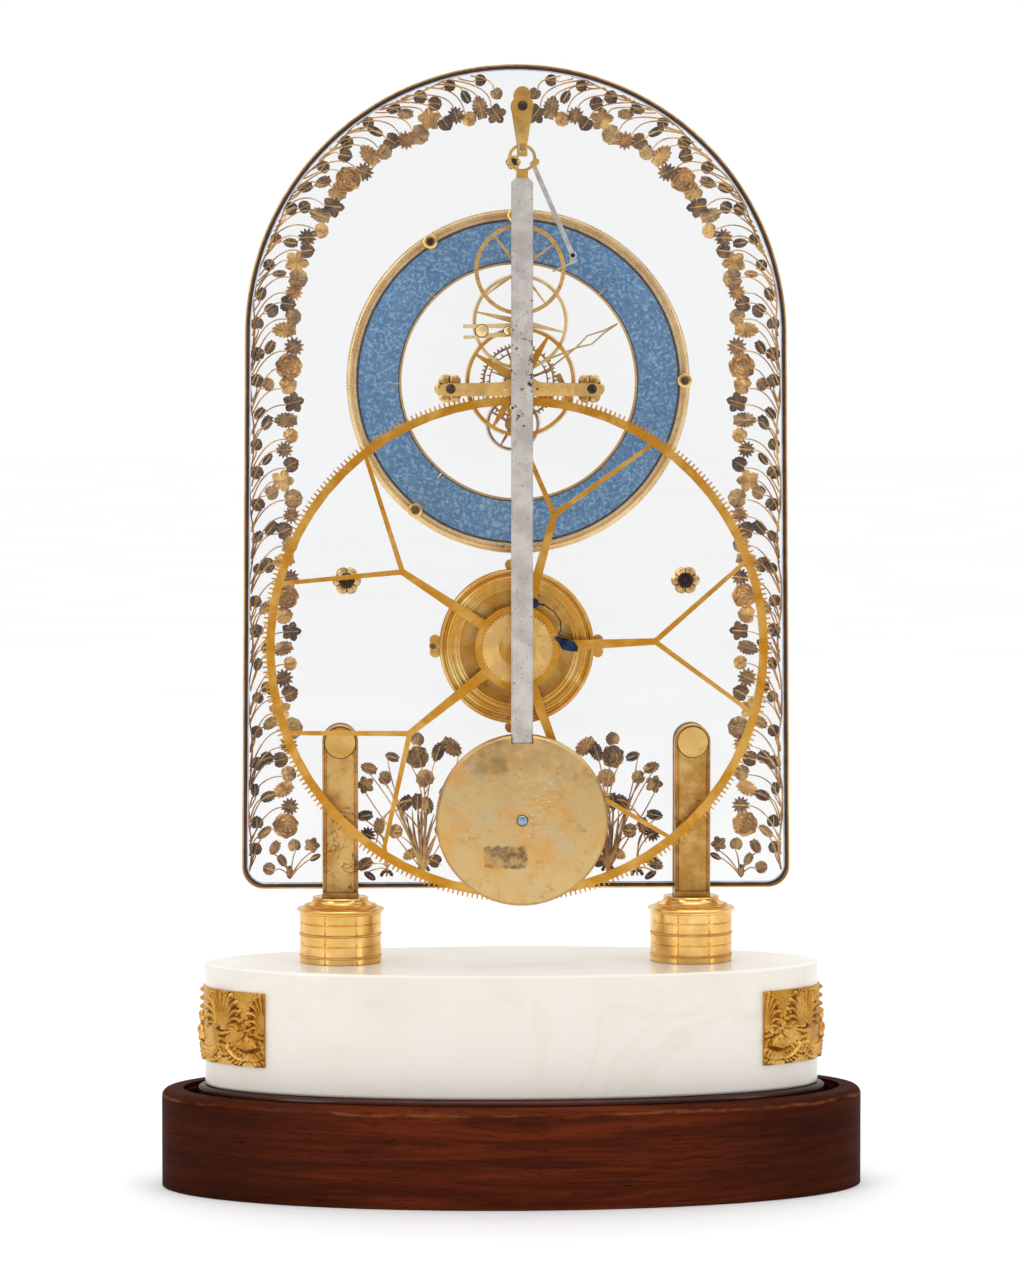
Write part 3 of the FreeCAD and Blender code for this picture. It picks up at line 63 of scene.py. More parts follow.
GLASS_LOW, GLASS_HIGH, _ = box("glass_plate")
BAND_LOW, BAND_HIGH, BAND = box("plate_band")
BEZEL_LOW, BEZEL_HIGH, DIAL = box("dial_bezel")
ENAMEL_LOW, ENAMEL_HIGH, _ = box("dial_ring")
_, BARREL_HIGH, BARREL = box("barrel_cover")
MARBLE_HIGH = box("marble_plinth")[1]
PLAQUE_LOW, PLAQUE_HIGH, _ = box("plaques")
BOB_LOW, BOB_HIGH, BOB = box("pendulum_bob")
ROD_LOW, ROD_HIGH, ROD = box("pendulum_rod")
SOCKET_LOW, SOCKET_HIGH, _ = box("sockets")
PILLAR_LOW, PILLAR_HIGH, PILLAR = box("pillars")
PLATE_X = BAND.x
PLATE_HALF_LOW = (BAND_HIGH.x - BAND_LOW.x) / 2
PLATE_HALF = 113.4
PLATE_BOTTOM = BAND_LOW.z
PLATE_SPRING = BAND_HIGH.z - PLATE_HALF
BRIDGE_Z = 335.2


# --- node materials ---------------------------------------------------------------------
def srgb(code, dark=1.0):
    """Linear colour of a six-digit screen colour."""
    def linear(c):
        c *= dark / 255.0
        return c / 12.92 if c <= 0.04045 else ((c + 0.055) / 1.055) ** 2.4
    return tuple(linear(c) for c in bytes.fromhex(code)) + (1.0,)


class Nodes:
    """A node tree and short ways to add the nodes that a pattern needs."""

    def __init__(self, tree, place):
        self.tree = tree
        self.place = self.add("TexCoord", place, {})

    def put(self, value, target):
        """Joins an output to a socket, or sets the socket to a number or a screen colour."""
        if hasattr(value, "is_output"):
            self.tree.links.new(value, target)
        else:
            target.default_value = srgb(value) if isinstance(value, str) else value

    def add(self, kind, output, inputs, **settings):
        node = self.tree.nodes.new("ShaderNode" + kind)
        for key, value in settings.items():
            setattr(node, key, value)
        for key, value in inputs.items():
            self.put(value, node.inputs[key])
        return node.outputs[output]

    def axis(self, which):
        return self.add("SeparateXYZ", which, {"Vector": self.place})

    def between(self, value, low, high, start=0.0, end=1.0):
        """Value spread from low..high to start..end, smoothly and clamped."""
        levels = {"Value": value, "From Min": low, "From Max": high, "To Min": start, "To Max": end}
        return self.add("MapRange", "Result", levels, interpolation_type="SMOOTHSTEP")

    def maths(self, operation, a, b=0.0):
        return self.add("Math", "Value", {0: a, 1: b}, operation=operation)

    def times(self, a, b):
        return self.maths("MULTIPLY", a, b)

    def mix(self, share, a, b, kind="RGBA"):
        return self.add("Mix", "Result", {"Factor": share, "A": a, "B": b}, data_type=kind)


class Paint(Nodes):
    """One Principled material. A noise is its scale, detail, roughness, distortion and stretch."""

    def __init__(self, name, **sockets):
        self.material = bpy.data.materials.new(name)
        self.material.use_nodes = True
        super().__init__(self.material.node_tree, "Object")
        self.shader = self.tree.nodes["Principled BSDF"].inputs
        for key, value in sockets.items():
            self.shader[key.replace("_", " ")].default_value = value

    def noise(self, scale, detail, roughness=0.55, distortion=0.0, stretch=None):
        place = self.place
        if stretch:
            place = self.add("Mapping", "Vector", {"Vector": place, "Scale": stretch})
        return self.add("TexNoise", "Fac", {"Vector": place, "Scale": scale, "Detail": detail,
                                            "Roughness": roughness, "Distortion": distortion})

    def spread(self, noise, *levels):
        return self.between(self.noise(*noise), *levels)

    def from_middle(self, *noise):
        """Distance of a noise from its middle value, which is nought along curling lines."""
        return self.maths("ABSOLUTE", self.maths("SUBTRACT", self.noise(*noise), 0.5))

    def over(self, tone, *layers):
        """Lays colours on a tone; a layer is (share, colour) or (noise, its levels, colour)."""
        for share, *levels, colour in layers:
            tone = self.mix(self.spread(share, *levels) if levels else share, tone, colour)
        return tone

    def made(self, tone, rough, relief=None, distance=0.0, strength=1.0):
        """Gives the shader its colour, roughness and relief, and returns the material."""
        self.put(tone, self.shader["Base Color"])
        self.put(self.spread(*rough) if isinstance(rough, tuple) else rough, self.shader["Roughness"])
        if relief is not None:
            height = self.noise(*relief) if isinstance(relief, tuple) else relief
            bump = {"Height": height, "Distance": distance, "Strength": strength}
            self.put(self.add("Bump", "Normal", bump), self.shader["Normal"])
        return self.material


def gilt(name, pale, deep, stain, patch, stain_share, rough, texture):
    """Fire gilding: two tones in patches, fine dark specks and a satin grain."""
    p = Paint(name, Metallic=1.0)
    tone = p.mix(p.spread((patch, 6.0, 0.55, 0.6), 0.38, 0.64), deep, pale)
    dark = p.maths("MAXIMUM", p.spread((900.0, 3.0), 0.66, 0.72, 0.0, stain_share),
                   p.spread((120.0, 6.0, 0.7), 0.60, 0.74, 0.0, stain_share))
    return p.made(p.mix(dark, tone, stain), ((260.0, 5.0), 0.3, 0.7, *rough), (1400.0, 4.0), texture * MM)


# pale, deep and stain colours, size of the patches, share of stains, range of roughness, grain
GILTS = {
    "gilt_frame": ("ecc47a", "d6a454", "784e24", 35.0, 0.5, (0.24, 0.42), 0.03),
    "gilt_turned": ("f6d08a", "e4b466", "7a4c1e", 45.0, 0.5, (0.15, 0.27), 0.015),
    # hollow_shade_brown: a patina brown used as painted shade in the plaques' hollows
    "hollow_shade_brown": ("8a5620", "683c14", "3c200c", 200.0, 0.5, (0.4, 0.6), 0.03),
    "gilt_petal": ("eccc92", "b49460", "422e20", 220.0, 0.8, (0.28, 0.42), 0.1),
    "gilt_barrel": ("e2be76", "cd9642", "603c1a", 55.0, 0.65, (0.24, 0.42), 0.03),
    "gilt_relief": ("daaa58", "b88232", "603410", 60.0, 0.5, (0.28, 0.46), 0.06),
    "gilt_flowers": ("ecc278", "b88a46", "503622", 150.0, 0.8, (0.30, 0.46), 0.1),
    "gilt_dusky": ("cca86e", "8c6e46", "362820", 150.0, 0.8, (0.32, 0.5), 0.1),
    "gilt_umber": ("8c6a3c", "543c28", "261a16", 150.0, 0.8, (0.32, 0.5), 0.1),
    "gilt_shadowed": ("7e6a50", "544436", "281e1a", 160.0, 0.7, (0.36, 0.55), 0.06),
    "wheel_brass": ("e2ae58", "ce8e2c", "683e16", 70.0, 0.55, (0.24, 0.42), 0.03),
    "pale_brass": ("fad89a", "eac47e", "866236", 90.0, 0.45, (0.2, 0.36), 0.03),
    "bezel_brass": ("fee2a8", "f0cc8c", "8c683e", 60.0, 0.55, (0.22, 0.38), 0.03),
    "bridge_brass": ("faca7a", "e2b672", "8a6a42", 110.0, 0.6, (0.22, 0.36), 0.03),
    "fine_brass": ("ceac70", "b0844a", "5c3e24", 120.0, 0.5, (0.24, 0.42), 0.03),
}


def mahogany(name, dark, polish):
    """French-polished mahogany: pores along the grain, ends darkened by the figure and painted shade, an
    upper edge lightened by rubbing and a painted highlight.
    """
    p = Paint(name, Specular_IOR_Level=0.0, Coat_Weight=polish, Coat_Roughness=0.1)
    pores = p.noise(420.0, 4.0, 0.7, 0.0, (0.05, 0.05, 1.2))
    figure = p.spread((34.0, 7.0, 0.66, 0.8, (0.26, 0.26, 4.4)), 0.36, 0.66)
    # ends darker by distance from the middle: partly the wood's figure, partly painted shade of the ends
    ends = p.between(p.maths("ABSOLUTE", p.axis("X")), 0.055, 0.125, 0.0, 0.62)
    tone = p.over(p.mix(figure, srgb("3e1608", dark), srgb("62260f", dark)),
                  (ends, "1e0b05"), (p.between(pores, 0.48, 0.68, 0.0, 0.6), "2c0f06"),
                  ((900.0, 2.0, 0.55, 0.0, (0.16, 0.16, 1.4)), 0.60, 0.68, 0.0, 0.6, "1e0a04"))
    # lighter line along the upper edge: partly rubbed polish, partly a painted highlight where the rounding
    # catches the light
    uneven = p.times(p.noise(90.0, 5.0, 0.55, 0.0, (0.5, 0.5, 1.0)), 0.0036)
    height = p.maths("ADD", p.axis("Z"), uneven)
    edge = p.times(p.between(height, 0.0396, 0.0402), p.between(height, 0.0406, 0.0414, 1.0, 0.0))
    rubbed_polish_and_highlight = p.times(edge, p.spread((60.0, 6.0), 0.42, 0.6, 0.03, 0.34))
    return p.made(p.mix(rubbed_polish_and_highlight, tone, "96603a"), p.between(pores, 0.4, 0.7, 0.3, 0.5), pores, 0.03 * MM)


def marble():
    """White statuary marble with faint warm veins."""
    p = Paint("white_marble", Coat_Weight=0.35, Coat_Roughness=0.06)
    cloud = p.spread((14.0, 4.0, 0.45, 0.3, (1.0, 1.0, 1.6)), 0.36, 0.74)
    vein = p.between(p.from_middle(11.0, 4.0, 0.55, 0.8, (1.0, 1.0, 1.3)), 0.0, 0.03, 0.10, 0.0)
    tone = p.over(p.mix(cloud, "ece6dc", "e6dfd2"),
                  ((30.0, 5.0, 0.5, 0.0, (1.0, 1.0, 1.5)), 0.56, 0.74, 0.0, 0.6, "e2d6be"),
                  (vein, "cebea2"))
    return p.made(tone, ((14.0, 2.0), 0.3, 0.7, 0.28, 0.32))


def pillar_gilding():
    """Gilding of the two pillars, with dark rubbed marks that curl across the face and painted shade towards
    the foot.
    """
    p = Paint("gilt_pillar", Metallic=1.0)
    tone = p.mix(p.spread((60.0, 7.0, 0.65), 0.4, 0.62), "bc8c48", "deb470")
    curl = p.between(p.from_middle(110.0, 5.0, 0.55, 1.6), 0.004, 0.022, 0.85, 0.0)
    curl = p.times(curl, p.spread((46.0, 4.0), 0.50, 0.60))
    marks = p.maths("MAXIMUM", curl, p.spread((800.0, 3.0), 0.64, 0.70, 0.0, 0.6))
    # painted shade: darker towards the foot, where the pillar stands in its socket
    foot = p.between(p.axis("Z"), 0.122, 0.134, 0.55, 0.0)
    tone = p.over(tone, (marks, "5c3a1c"), (foot, "784e22"))
    return p.made(tone, ((220.0, 5.0), 0.3, 0.7, 0.27, 0.44), (1200.0, 4.0), 0.04 * MM)


def rod_steel():
    """Grey pitted steel with rust where damp has settled on it."""
    p = Paint("pitted_steel", Metallic=0.85)
    height = p.axis("Z")
    damp = p.times(p.between(height, 0.312, 0.330), p.between(height, 0.350, 0.378, 1.0, 0.0))
    reach = p.maths("ADD", p.noise(260.0, 6.0, 0.72), p.times(damp, 0.10))
    rust = p.between(reach, 0.67, 0.70, 0.0, 0.95)
    pits = p.spread((620.0, 3.0, 0.6), 0.665, 0.70, 0.0, 0.85)
    tone = p.over(p.mix(p.spread((90.0, 6.0), 0.35, 0.68), "d8d1cc", "bcb4af"),
                  ((1500.0, 2.0), 0.64, 0.70, 0.0, 0.55, "78706c"),
                  (pits, "463a36"), (rust, "422216"))
    sunk = p.maths("SUBTRACT", 1.0, p.maths("MAXIMUM", pits, rust))
    return p.made(tone, ((300.0, 4.0), 0.3, 0.7, 0.36, 0.52), sunk, 0.05 * MM, 0.7)


def worn_bob():
    """Old gilding worn to grey brass, with scratches, a smudge by the rod and a brown stain."""
    p = Paint("gilt_bob", Metallic=1.0)
    face = BOB_LOW.y * MM
    front = p.between(p.axis("Y"), face + 0.0035, face + 0.0045, 1.0, 0.0)

    def within(axis, scale, low, high, soft, ragged):
        uneven = p.times(p.maths("SUBTRACT", p.noise(scale, 6.0), 0.5), ragged)
        at = p.maths("ADD", p.axis(axis), uneven)
        return p.times(p.between(at, low, low + soft), p.between(at, high - soft, high, 1.0, 0.0))

    def patch(x0, x1, z0, z1, soft, ragged):
        """Soft-edged area of the front, given from the middle of the disc."""
        x, z = BOB.x * MM, BOB.z * MM
        wide = within("X", 260.0, x + x0, x + x1, soft, ragged)
        return p.times(p.times(wide, within("Z", 310.0, z + z0, z + z1, soft, ragged)), front)

    stain = p.times(patch(-0.0165, 0.0025, -0.0205, -0.0100, 0.0014, 0.0045),
                    p.spread((300.0, 7.0, 0.7), 0.38, 0.62, 0.25, 0.8))
    smudge = p.times(patch(-0.026, -0.001, 0.014, 0.040, 0.010, 0.012),
                     p.spread((160.0, 7.0), 0.35, 0.65, 0.15, 0.55))
    scratch = p.times(p.spread((420.0, 6.0, 0.8, 3.0, (0.4, 1.0, 1.6)), 0.54, 0.60, 0.0, 0.7),
                      patch(-0.004, 0.020, -0.010, 0.024, 0.006, 0.010))
    wear = p.spread((34.0, 9.0, 0.7, 0.8, (1.0, 1.0, 1.5)), 0.46, 0.62, 0.0, 0.75)
    tone = p.over(p.mix(wear, "d6b67e", "dca65c"),
                  ((75.0, 9.0, 0.72), 0.52, 0.66, 0.0, 0.6, "ccba96"),
                  ((190.0, 8.0, 0.75), 0.54, 0.70, 0.0, 0.5, "967448"),
                  ((700.0, 4.0, 0.7), 0.62, 0.74, 0.0, 0.45, "684a2c"),
                  (smudge, "84684a"), (stain, "68422e"), (scratch, "ecdebc"))
    return p.made(tone, ((240.0, 5.0), 0.3, 0.7, 0.34, 0.5), (1100.0, 4.0), 0.03 * MM)


def dial_enamel():
    """White enamel at the front, speckled blue counter-enamel behind."""
    p = Paint("dial_enamel", Specular_IOR_Level=0.3)
    speck = p.noise(800.0, 3.0, 0.7)
    blue = p.over(p.mix(p.spread((70.0, 4.0), 0.35, 0.7), "5686b2", "4c7ca8"),
                  (p.between(speck, 0.48, 0.62), "8cb0ce"),
                  ((620.0, 3.0), 0.54, 0.64, 0.0, 0.6, "3e6892"))
    white = p.mix(p.spread((40.0, 3.0), 0.4, 0.7), "f6f4ee", "eeeae2")
    front = p.between(p.axis("Y"), ENAMEL_HIGH.y * MM - 0.0003, ENAMEL_HIGH.y * MM - 0.0002)
    rough = p.mix(front, (0.62, 0.62, 0.62, 1.0), (0.16, 0.16, 0.16, 1.0))
    return p.made(p.mix(front, blue, white), rough, speck, 0.02 * MM, 0.6)


def plate_glass():
    """Clear old glass with a faint grey-blue cast."""
    p = Paint("plate_glass", Alpha=0.075, IOR=1.5)
    cast = p.mix(p.spread((9.0, 3.0), 0.3, 0.7), "969ca6", "8a909a")
    return p.made(cast, ((40.0, 3.0), 0.3, 0.7, 0.04, 0.09))


def steel(name, light, dark, rough):
    p = Paint(name, Metallic=1.0)
    tone = p.mix(p.spread((260.0, 4.0), 0.35, 0.65), light, dark)
    return p.made(tone, ((500.0, 3.0), 0.3, 0.7, rough - 0.06, rough + 0.08), (1800.0, 3.0), 0.01 * MM)


def flat_paint(name, light, dark, rough):
    p = Paint(name)
    tone = p.mix(p.spread((200.0, 4.0), 0.35, 0.65), light, dark)
    return p.made(tone, ((400.0, 3.0), 0.3, 0.7, rough - 0.05, rough + 0.05))


PAINT = {name: gilt(name, *values) for name, values in GILTS.items()}
PAINT.update({
    "gilt": PAINT["gilt_frame"], "gilt_pillar": pillar_gilding(), "gilt_bob": worn_bob(),
    "mahogany": mahogany("mahogany_polished", 1.0, 0.07),
    "mahogany_step": mahogany("mahogany_step", 0.8, 0.5),
    "marble": marble(), "rod_steel": rod_steel(), "dial_enamel": dial_enamel(), "plate_glass": plate_glass(),
    "blue_steel": steel("blued_steel", "344260", "1a2030", 0.24),
})
for steel_name, *steel_values in (
        ("screw_steel", "acbacc", "8492a8", 0.3),
        ("dark_steel", "706256", "423832", 0.3),
        ("bright_steel", "ceccca", "a09c98", 0.24),
        ("pallet_steel", "e2ded8", "c4beb6", 0.34)):
    PAINT[steel_name] = steel(steel_name, *steel_values)
for paint_name, *paint_values in (
        # painted reflection of the glass's bevel
        ("bevel_grey", "c4ccd6", "a8b2c0", 0.3),
        # plug_dark also serves as painted shade: the nail holes, the bezel's shadow lines and the plate's
        # edge
        ("plug_dark", "46221a", "26120e", 0.5),
        ("numeral_black", "181618", "0e0d0f", 0.3)):
    PAINT[paint_name] = flat_paint(paint_name, *paint_values)


def paint_frame():
    """Gives every CAD node the material of its record slot, with a finer choice for some nodes."""
    finer = {
        "third_wheel": "pale_brass", "escape_wheel": "bridge_brass", "third_cock": "bezel_brass",
        "ratchet_wheel": "bridge_brass", "rear_bridge": "bridge_brass",
        "date_wheel": "fine_brass", "minute_wheel": "fine_brass", "hour_wheel": "fine_brass",
        # plaque_nails are painted dark as the shade of their nail holes
        "plaque_nails": "plug_dark", "pallet_arm": "pallet_steel",
    }
    for name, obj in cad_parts.items():
        key = finer.get(name) or obj.material_slots[0].material.name.split(".")[0]
        for place in obj.material_slots:
            place.material = PAINT[key]


# --- mesh helpers -----------------------------------------------------------------------
def spun(centre, axis, r, t, h):
    """Point of a turned piece about an upright or a front-to-back axis."""
    if axis == "z":
        return Vector((centre.x + r * math.cos(t), centre.y + r * math.sin(t), h))
    return Vector((centre.x + r * math.cos(t), centre.y + h, centre.z + r * math.sin(t)))


def around(x, z, r, t, y=0.0):
    """Point at an angle on a circle that faces front."""
    return Vector((x + r * math.cos(t), y, z + r * math.sin(t)))


def shifted(rows, r, h):
    """Rows of a profile moved out by r and along by h."""
    return [(a + r, b + h) for a, b in rows]


def bent(a, b, c, count):
    """Points of a quadratic curve from a to c, drawn towards b."""
    steps = [k / count for k in range(count + 1)]
    return [a * (1 - t) ** 2 + b * 2 * t * (1 - t) + c * t ** 2 for t in steps]


def placed(name, data):
    obj = bpy.data.objects.new(name, data)
    bpy.context.scene.collection.objects.link(obj)
    return obj


class Shape:
    """Vertices and faces of one piece, gathered part by part."""

    def __init__(self):
        self.points, self.faces = [], []

    def add(self, points, faces):
        base = len(self.points)
        self.points += [Vector(p) for p in points]
        self.faces += [tuple(base + i for i in face) for face in faces]

    def loft(self, rings, closed_ends=True, loop=False):
        """Skin over rings with the same number of points; a ring of one point closes an end."""
        points, faces, lines = [], [], []
        for ring in rings:
            lines.append(range(len(points), len(points) + len(ring)))
            points += ring
        for low, high in zip(lines, lines[1:] + (lines[:1] if loop else [])):
            count = max(len(low), len(high))
            for i in range(count):
                j = (i + 1) % count
                if len(low) == 1:
                    faces.append((low[0], high[j], high[i]))
                elif len(high) == 1:
                    faces.append((low[i], low[j], high[0]))
                else:
                    faces.append((low[i], low[j], high[j], high[i]))
        if closed_ends and not loop:
            faces += [tuple(line) for line in (lines[0][::-1], lines[-1]) if len(line) > 1]
        self.add(points, faces)

    def tube(self, path, radii, sides):
        """Round rod along a path, with rounded ends and a radius for each point."""
        last = len(path) - 1
        rings, side = [], None
        for i, (p, r) in enumerate(zip(path, radii)):
            ahead = (path[min(i + 1, last)] - path[max(i - 1, 0)]).normalized()
            if side is None:
                side = ahead.orthogonal().normalized()
            side = (side - ahead * side.dot(ahead)).normalized()
            across = ahead.cross(side)
            spokes = [side * math.cos(TAU * k / sides) + across * math.sin(TAU * k / sides)
                      for k in range(sides)]
            if i == 0:
                rings += [[p - ahead * r * 0.9], [p - ahead * r * 0.6 + spoke * r * 0.7 for spoke in spokes]]
            rings.append([p + spoke * r for spoke in spokes])
            if i == last:
                rings += [[p + ahead * r * 0.6 + spoke * r * 0.7 for spoke in spokes], [p + ahead * r * 0.9]]
        self.loft(rings)

    def lathe(self, centre, profile, segments, axis="y", closed_ends=True):
        """Turned piece; the profile is (radius, distance along the axis) pairs."""
        self.loft([[spun(centre, axis, r, TAU * i / segments, h) for i in range(segments if r > 1e-4 else 1)]
                   for r, h in profile], closed_ends)

    def hoop(self, centre, section, segments):
        """Ring turned about a front-to-back axis from a closed section."""
        self.lathe(centre, section + section[:1], segments, closed_ends=False)

    def sheet(self, place, outline, height, thickness, rings, spokes, hole=0.0):
        """Thin worked sheet: outline(angle) is its edge, height(share, angle) its relief.

        place(a, b, c) turns sheet coordinates into a point; c is across the sheet.
        """
        def ring(level, lift):
            angles = [TAU * i / spokes for i in range(spokes if level else 1)]
            return [place(outline(t) * level * math.cos(t), outline(t) * level * math.sin(t),
                          height(level, t) + lift) for t in angles]

        levels = [hole + (1 - hole) * k / rings for k in range(rings + 1)]
        self.loft([ring(level, 0.0) for level in levels] + [ring(level, thickness) for level in levels[::-1]],
                  loop=bool(hole))

    def bar(self, centre, rows):
        """Upright bar with clipped corners; a row is a height, half width, half depth and clip."""
        self.loft([[centre + Vector((a, b, z)) for a, b in (
            (x, -y + c), (x, y - c), (x - c, y), (-x + c, y), (-x, y - c), (-x, -y + c), (-x + c, -y),
            (x - c, -y))]
                   for z, x, y, c in rows])

    def block(self, low, high, bevel):
        """Bar with chamfered edges along X, Y and Z."""
        low, high = Vector(low), Vector(high)
        half = (high - low) / 2
        self.bar((low + high) / 2, [(z, half.x - inset, half.y - inset, bevel) for z, inset in (
            (-half.z, bevel), (-half.z + bevel, 0.0), (half.z - bevel, 0.0), (half.z, bevel))])

    def solid(self, name, material, sharp):
        mesh = bpy.data.meshes.new(name)
        mesh.from_pydata([tuple(p * MM) for p in self.points], [], self.faces)
        work = bmesh.new()
        work.from_mesh(mesh)
        bmesh.ops.recalc_face_normals(work, faces=work.faces)
        work.to_mesh(mesh)
        work.free()
        smooth(mesh, sharp)
        mesh.materials.append(material)
        return placed(name, mesh)

    def piece(self, name, paint, body="clock", slot=None, replaces=None, sharp=32.0):
        obj = self.solid(name, PAINT[paint], sharp)
        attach(obj, body)
        if replaces:
            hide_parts(replaces)
        return obj


def smooth(mesh, sharp):
    mesh.polygons.foreach_set("use_smooth", [True] * len(mesh.polygons))
    mesh.set_sharp_from_angle(angle=math.radians(sharp))


def carved(obj, *cutters):
    """Takes the cutters out of a piece."""
    for shape in cutters:
        cutter = shape.solid("cutter", PAINT["gilt"], 32.0)
        change = obj.modifiers.new("carve", "BOOLEAN")
        change.operation = "DIFFERENCE"
        change.solver = "EXACT"
        change.object = cutter
        bpy.context.view_layer.update()
        mesh = bpy.data.meshes.new_from_object(obj.evaluated_get(bpy.context.evaluated_depsgraph_get()))
        obj.modifiers.remove(change)
        obj.data = mesh
        bpy.data.objects.remove(cutter)
    smooth(mesh, 30.0)


def drill(centre, r, low, high, segments=32):
    """Cutter for a round hole from front to back."""
    shape = Shape()
    shape.lathe(centre, [(0, low), (r, low), (r, high), (0, high)], segments)
    return shape


def chisel(low, high, bevel=0.05):
    """Cutter for a square hole."""
    shape = Shape()
    shape.block(low, high, bevel)
    return shape


# --- leaves and flowers -----------------------------------------------------------------
def wave(t, times, depth, phase=0.0):
    return depth * math.cos(times * t + phase)


def tooth(t, times):
    """Saw-shaped wave from 0 to 1."""
    return (t * times / TAU) % 1.0


def oval_radius(t, length, width):
    return length * width / math.hypot(width * math.cos(t), length * math.sin(t))


def folded(t):
    """Angle from -pi to pi, where 0 is the tip."""
    return (t + math.pi) % TAU - math.pi


def notch(t, depth, width):
    """Share left by a notch opposite the tip."""
    return 1 - depth * math.exp(-(abs(folded(t)) - math.pi) ** 2 / width)


OUTLINES = {
    "round": lambda t: (1 + wave(t, 9, 0.035) + wave(t, 21, 0.02)) * notch(t, 0.3, 0.08),
    "heart": lambda t: (0.98 + wave(t, 13, 0.03)) * (notch(t, 0.42,
                                                           0.12) + 0.12 * math.exp(-folded(t) ** 2 / 0.05)),
    "toothed": lambda t: oval_radius(t, 1.16,
                                     0.74) * (0.84 + 0.24 * tooth(abs(folded(t)) / math.pi * TAU, 7)),
    "bud": lambda t: oval_radius(t, 1.1, 0.55) * (1 + wave(t, 14, 0.05)),
    "daisy": lambda t: 0.66 + 0.40 * (1 - abs(2 * tooth(t, 12) - 1)) ** 0.8,
    "rose": lambda t: 1 + wave(t, 7, 0.04) + wave(t, 11, 0.025, 1.0) + wave(t, 23, 0.012),
    "lobed": lambda t: 0.74 + 0.34 * abs(math.cos(2.5 * t)) ** 1.3 + wave(t, 25, 0.03),
}
RELIEFS = {
    "leaf": lambda s, t: 0.26 * s * abs(math.sin(t)) + 0.07 * s * math.cos(12 * t),
    "round": lambda s, t: 0.30 * s * s + wave(t, 5, 0.09 * s, 0.6) + 0.05 * math.cos(14 * s),
    "daisy": lambda s, t: 0.16 * s * math.cos(12 * t) + 0.2 * math.exp(-(s / 0.22) ** 2),
    "rose": lambda s, t: (0.14 * math.sin(15.0 * s + 3.0 * t + 0.8 * math.sin(2 * t)) * (0.35 + 0.65 * s)
                          + 0.16 * (1 - s)),
}
SHEET_T = 0.28
STEM_R = 0.36
TRUNK = 3.0


def on_glass(p, lift):
    return Vector((p.x, GLASS_HIGH.y + lift, p.z))


def blossom(shape, kind, centre, size, angle, lift):
    """One leaf or flower of thin sheet, standing lift from the glass, its tip at the given angle."""
    relief = RELIEFS.get(kind, RELIEFS["leaf"])
    ca, sa = math.cos(angle), math.sin(angle)
    shape.sheet(lambda a, b, c: on_glass(Vector((centre.x + a * ca - b * sa, 0,
                                                 centre.z + a * sa + b * ca)), lift + c),
                lambda t: size * OUTLINES[kind](t), lambda s, t: size * relief(s, t), SHEET_T,
                8 if kind == "rose" else 5, 72 if kind in ("daisy", "rose", "toothed") else 40)


def stem(shape, path, r=STEM_R):
    """Wire that lies on the glass and thins towards its tip."""
    count = len(path) - 1
    shape.tube([on_glass(p, r * 1.1) for p in path],
               [r * (1.0 - 0.35 * k / count) for k in range(count + 1)], 6)


GARLAND_FOOT = PLATE_BOTTOM + 7
GARLAND_RISE = PLATE_SPRING - GARLAND_FOOT
GARLAND_RUN = GARLAND_RISE + PLATE_HALF * math.pi / 2


def edge_point(side, distance, inset):
    """Point of the plate's outline, measured up one side and over the top, moved in by inset."""
    if distance < GARLAND_RISE:
        half = PLATE_HALF_LOW + (PLATE_HALF - PLATE_HALF_LOW) * distance / GARLAND_RISE
        return Vector((PLATE_X + side * (half - inset), 0, GARLAND_FOOT + distance))
    t = (distance - GARLAND_RISE) / PLATE_HALF
    p = around(0, PLATE_SPRING, PLATE_HALF - inset, t)
    return Vector((PLATE_X + side * p.x, 0, p.z))


def heading(side, distance):
    """Direction of the plate's edge, upwards, as an angle in the XZ plane."""
    ahead = edge_point(side, distance + 1, 0) - edge_point(side, distance - 1, 0)
    return math.atan2(ahead.z, ahead.x)


def sprig(gold, leaves, kind, centre, size, root, knee, angle, lift):
    """One leaf or flower on its wire, which runs on across it as a midrib."""
    ahead = around(0, 0, size, angle)
    stem(gold, bent(root, knee, centre - ahead * 0.9, 8) + [centre, centre + ahead * 0.72])
    blossom(leaves, kind, centre, size, angle, lift)


# kind, size, distance from the edge and tone of each flower in the inner row
INNER_ROW = (
    ("rose", 5.4, 18.0, 0), ("daisy", 4.0, 19.8, 1), ("toothed", 4.6, 16.6, 0), ("round", 3.3, 19.0, 1),
    ("heart", 3.6, 16.0, 2), ("daisy", 3.8, 19.0, 0), ("round", 4.4, 19.6, 1), ("lobed", 4.6, 16.2, 0),
    ("heart", 3.4, 18.8, 2), ("daisy", 3.9, 17.0, 1), ("round", 3.2, 19.8, 0), ("toothed", 4.4, 17.2, 1),
    ("lobed", 4.2, 19.6, 2), ("heart", 4.0, 17.0, 0),
)
# start and end, ranges of size, inset, wire and turn, its knee, kinds, tones, lift and range of step
LEAF_ROWS = (
    (16, 6, (2.6, 3.4), (9.0, 11.5), (9, 12), (20, 75), (1.0, 2.0),
     ("bud", "toothed", "round", "toothed", "heart"), (1, 2, 3), 0.72, (14.0, 18.0)),
    (9, 3, (2.3, 3.1), (4.8, 6.2), (7, 10), (-40, 40), (2.0, 3.4),
     ("round", "heart", "toothed", "round"), (2, 3, 3, 3), 0.68, (11.0, 15.0)),
)


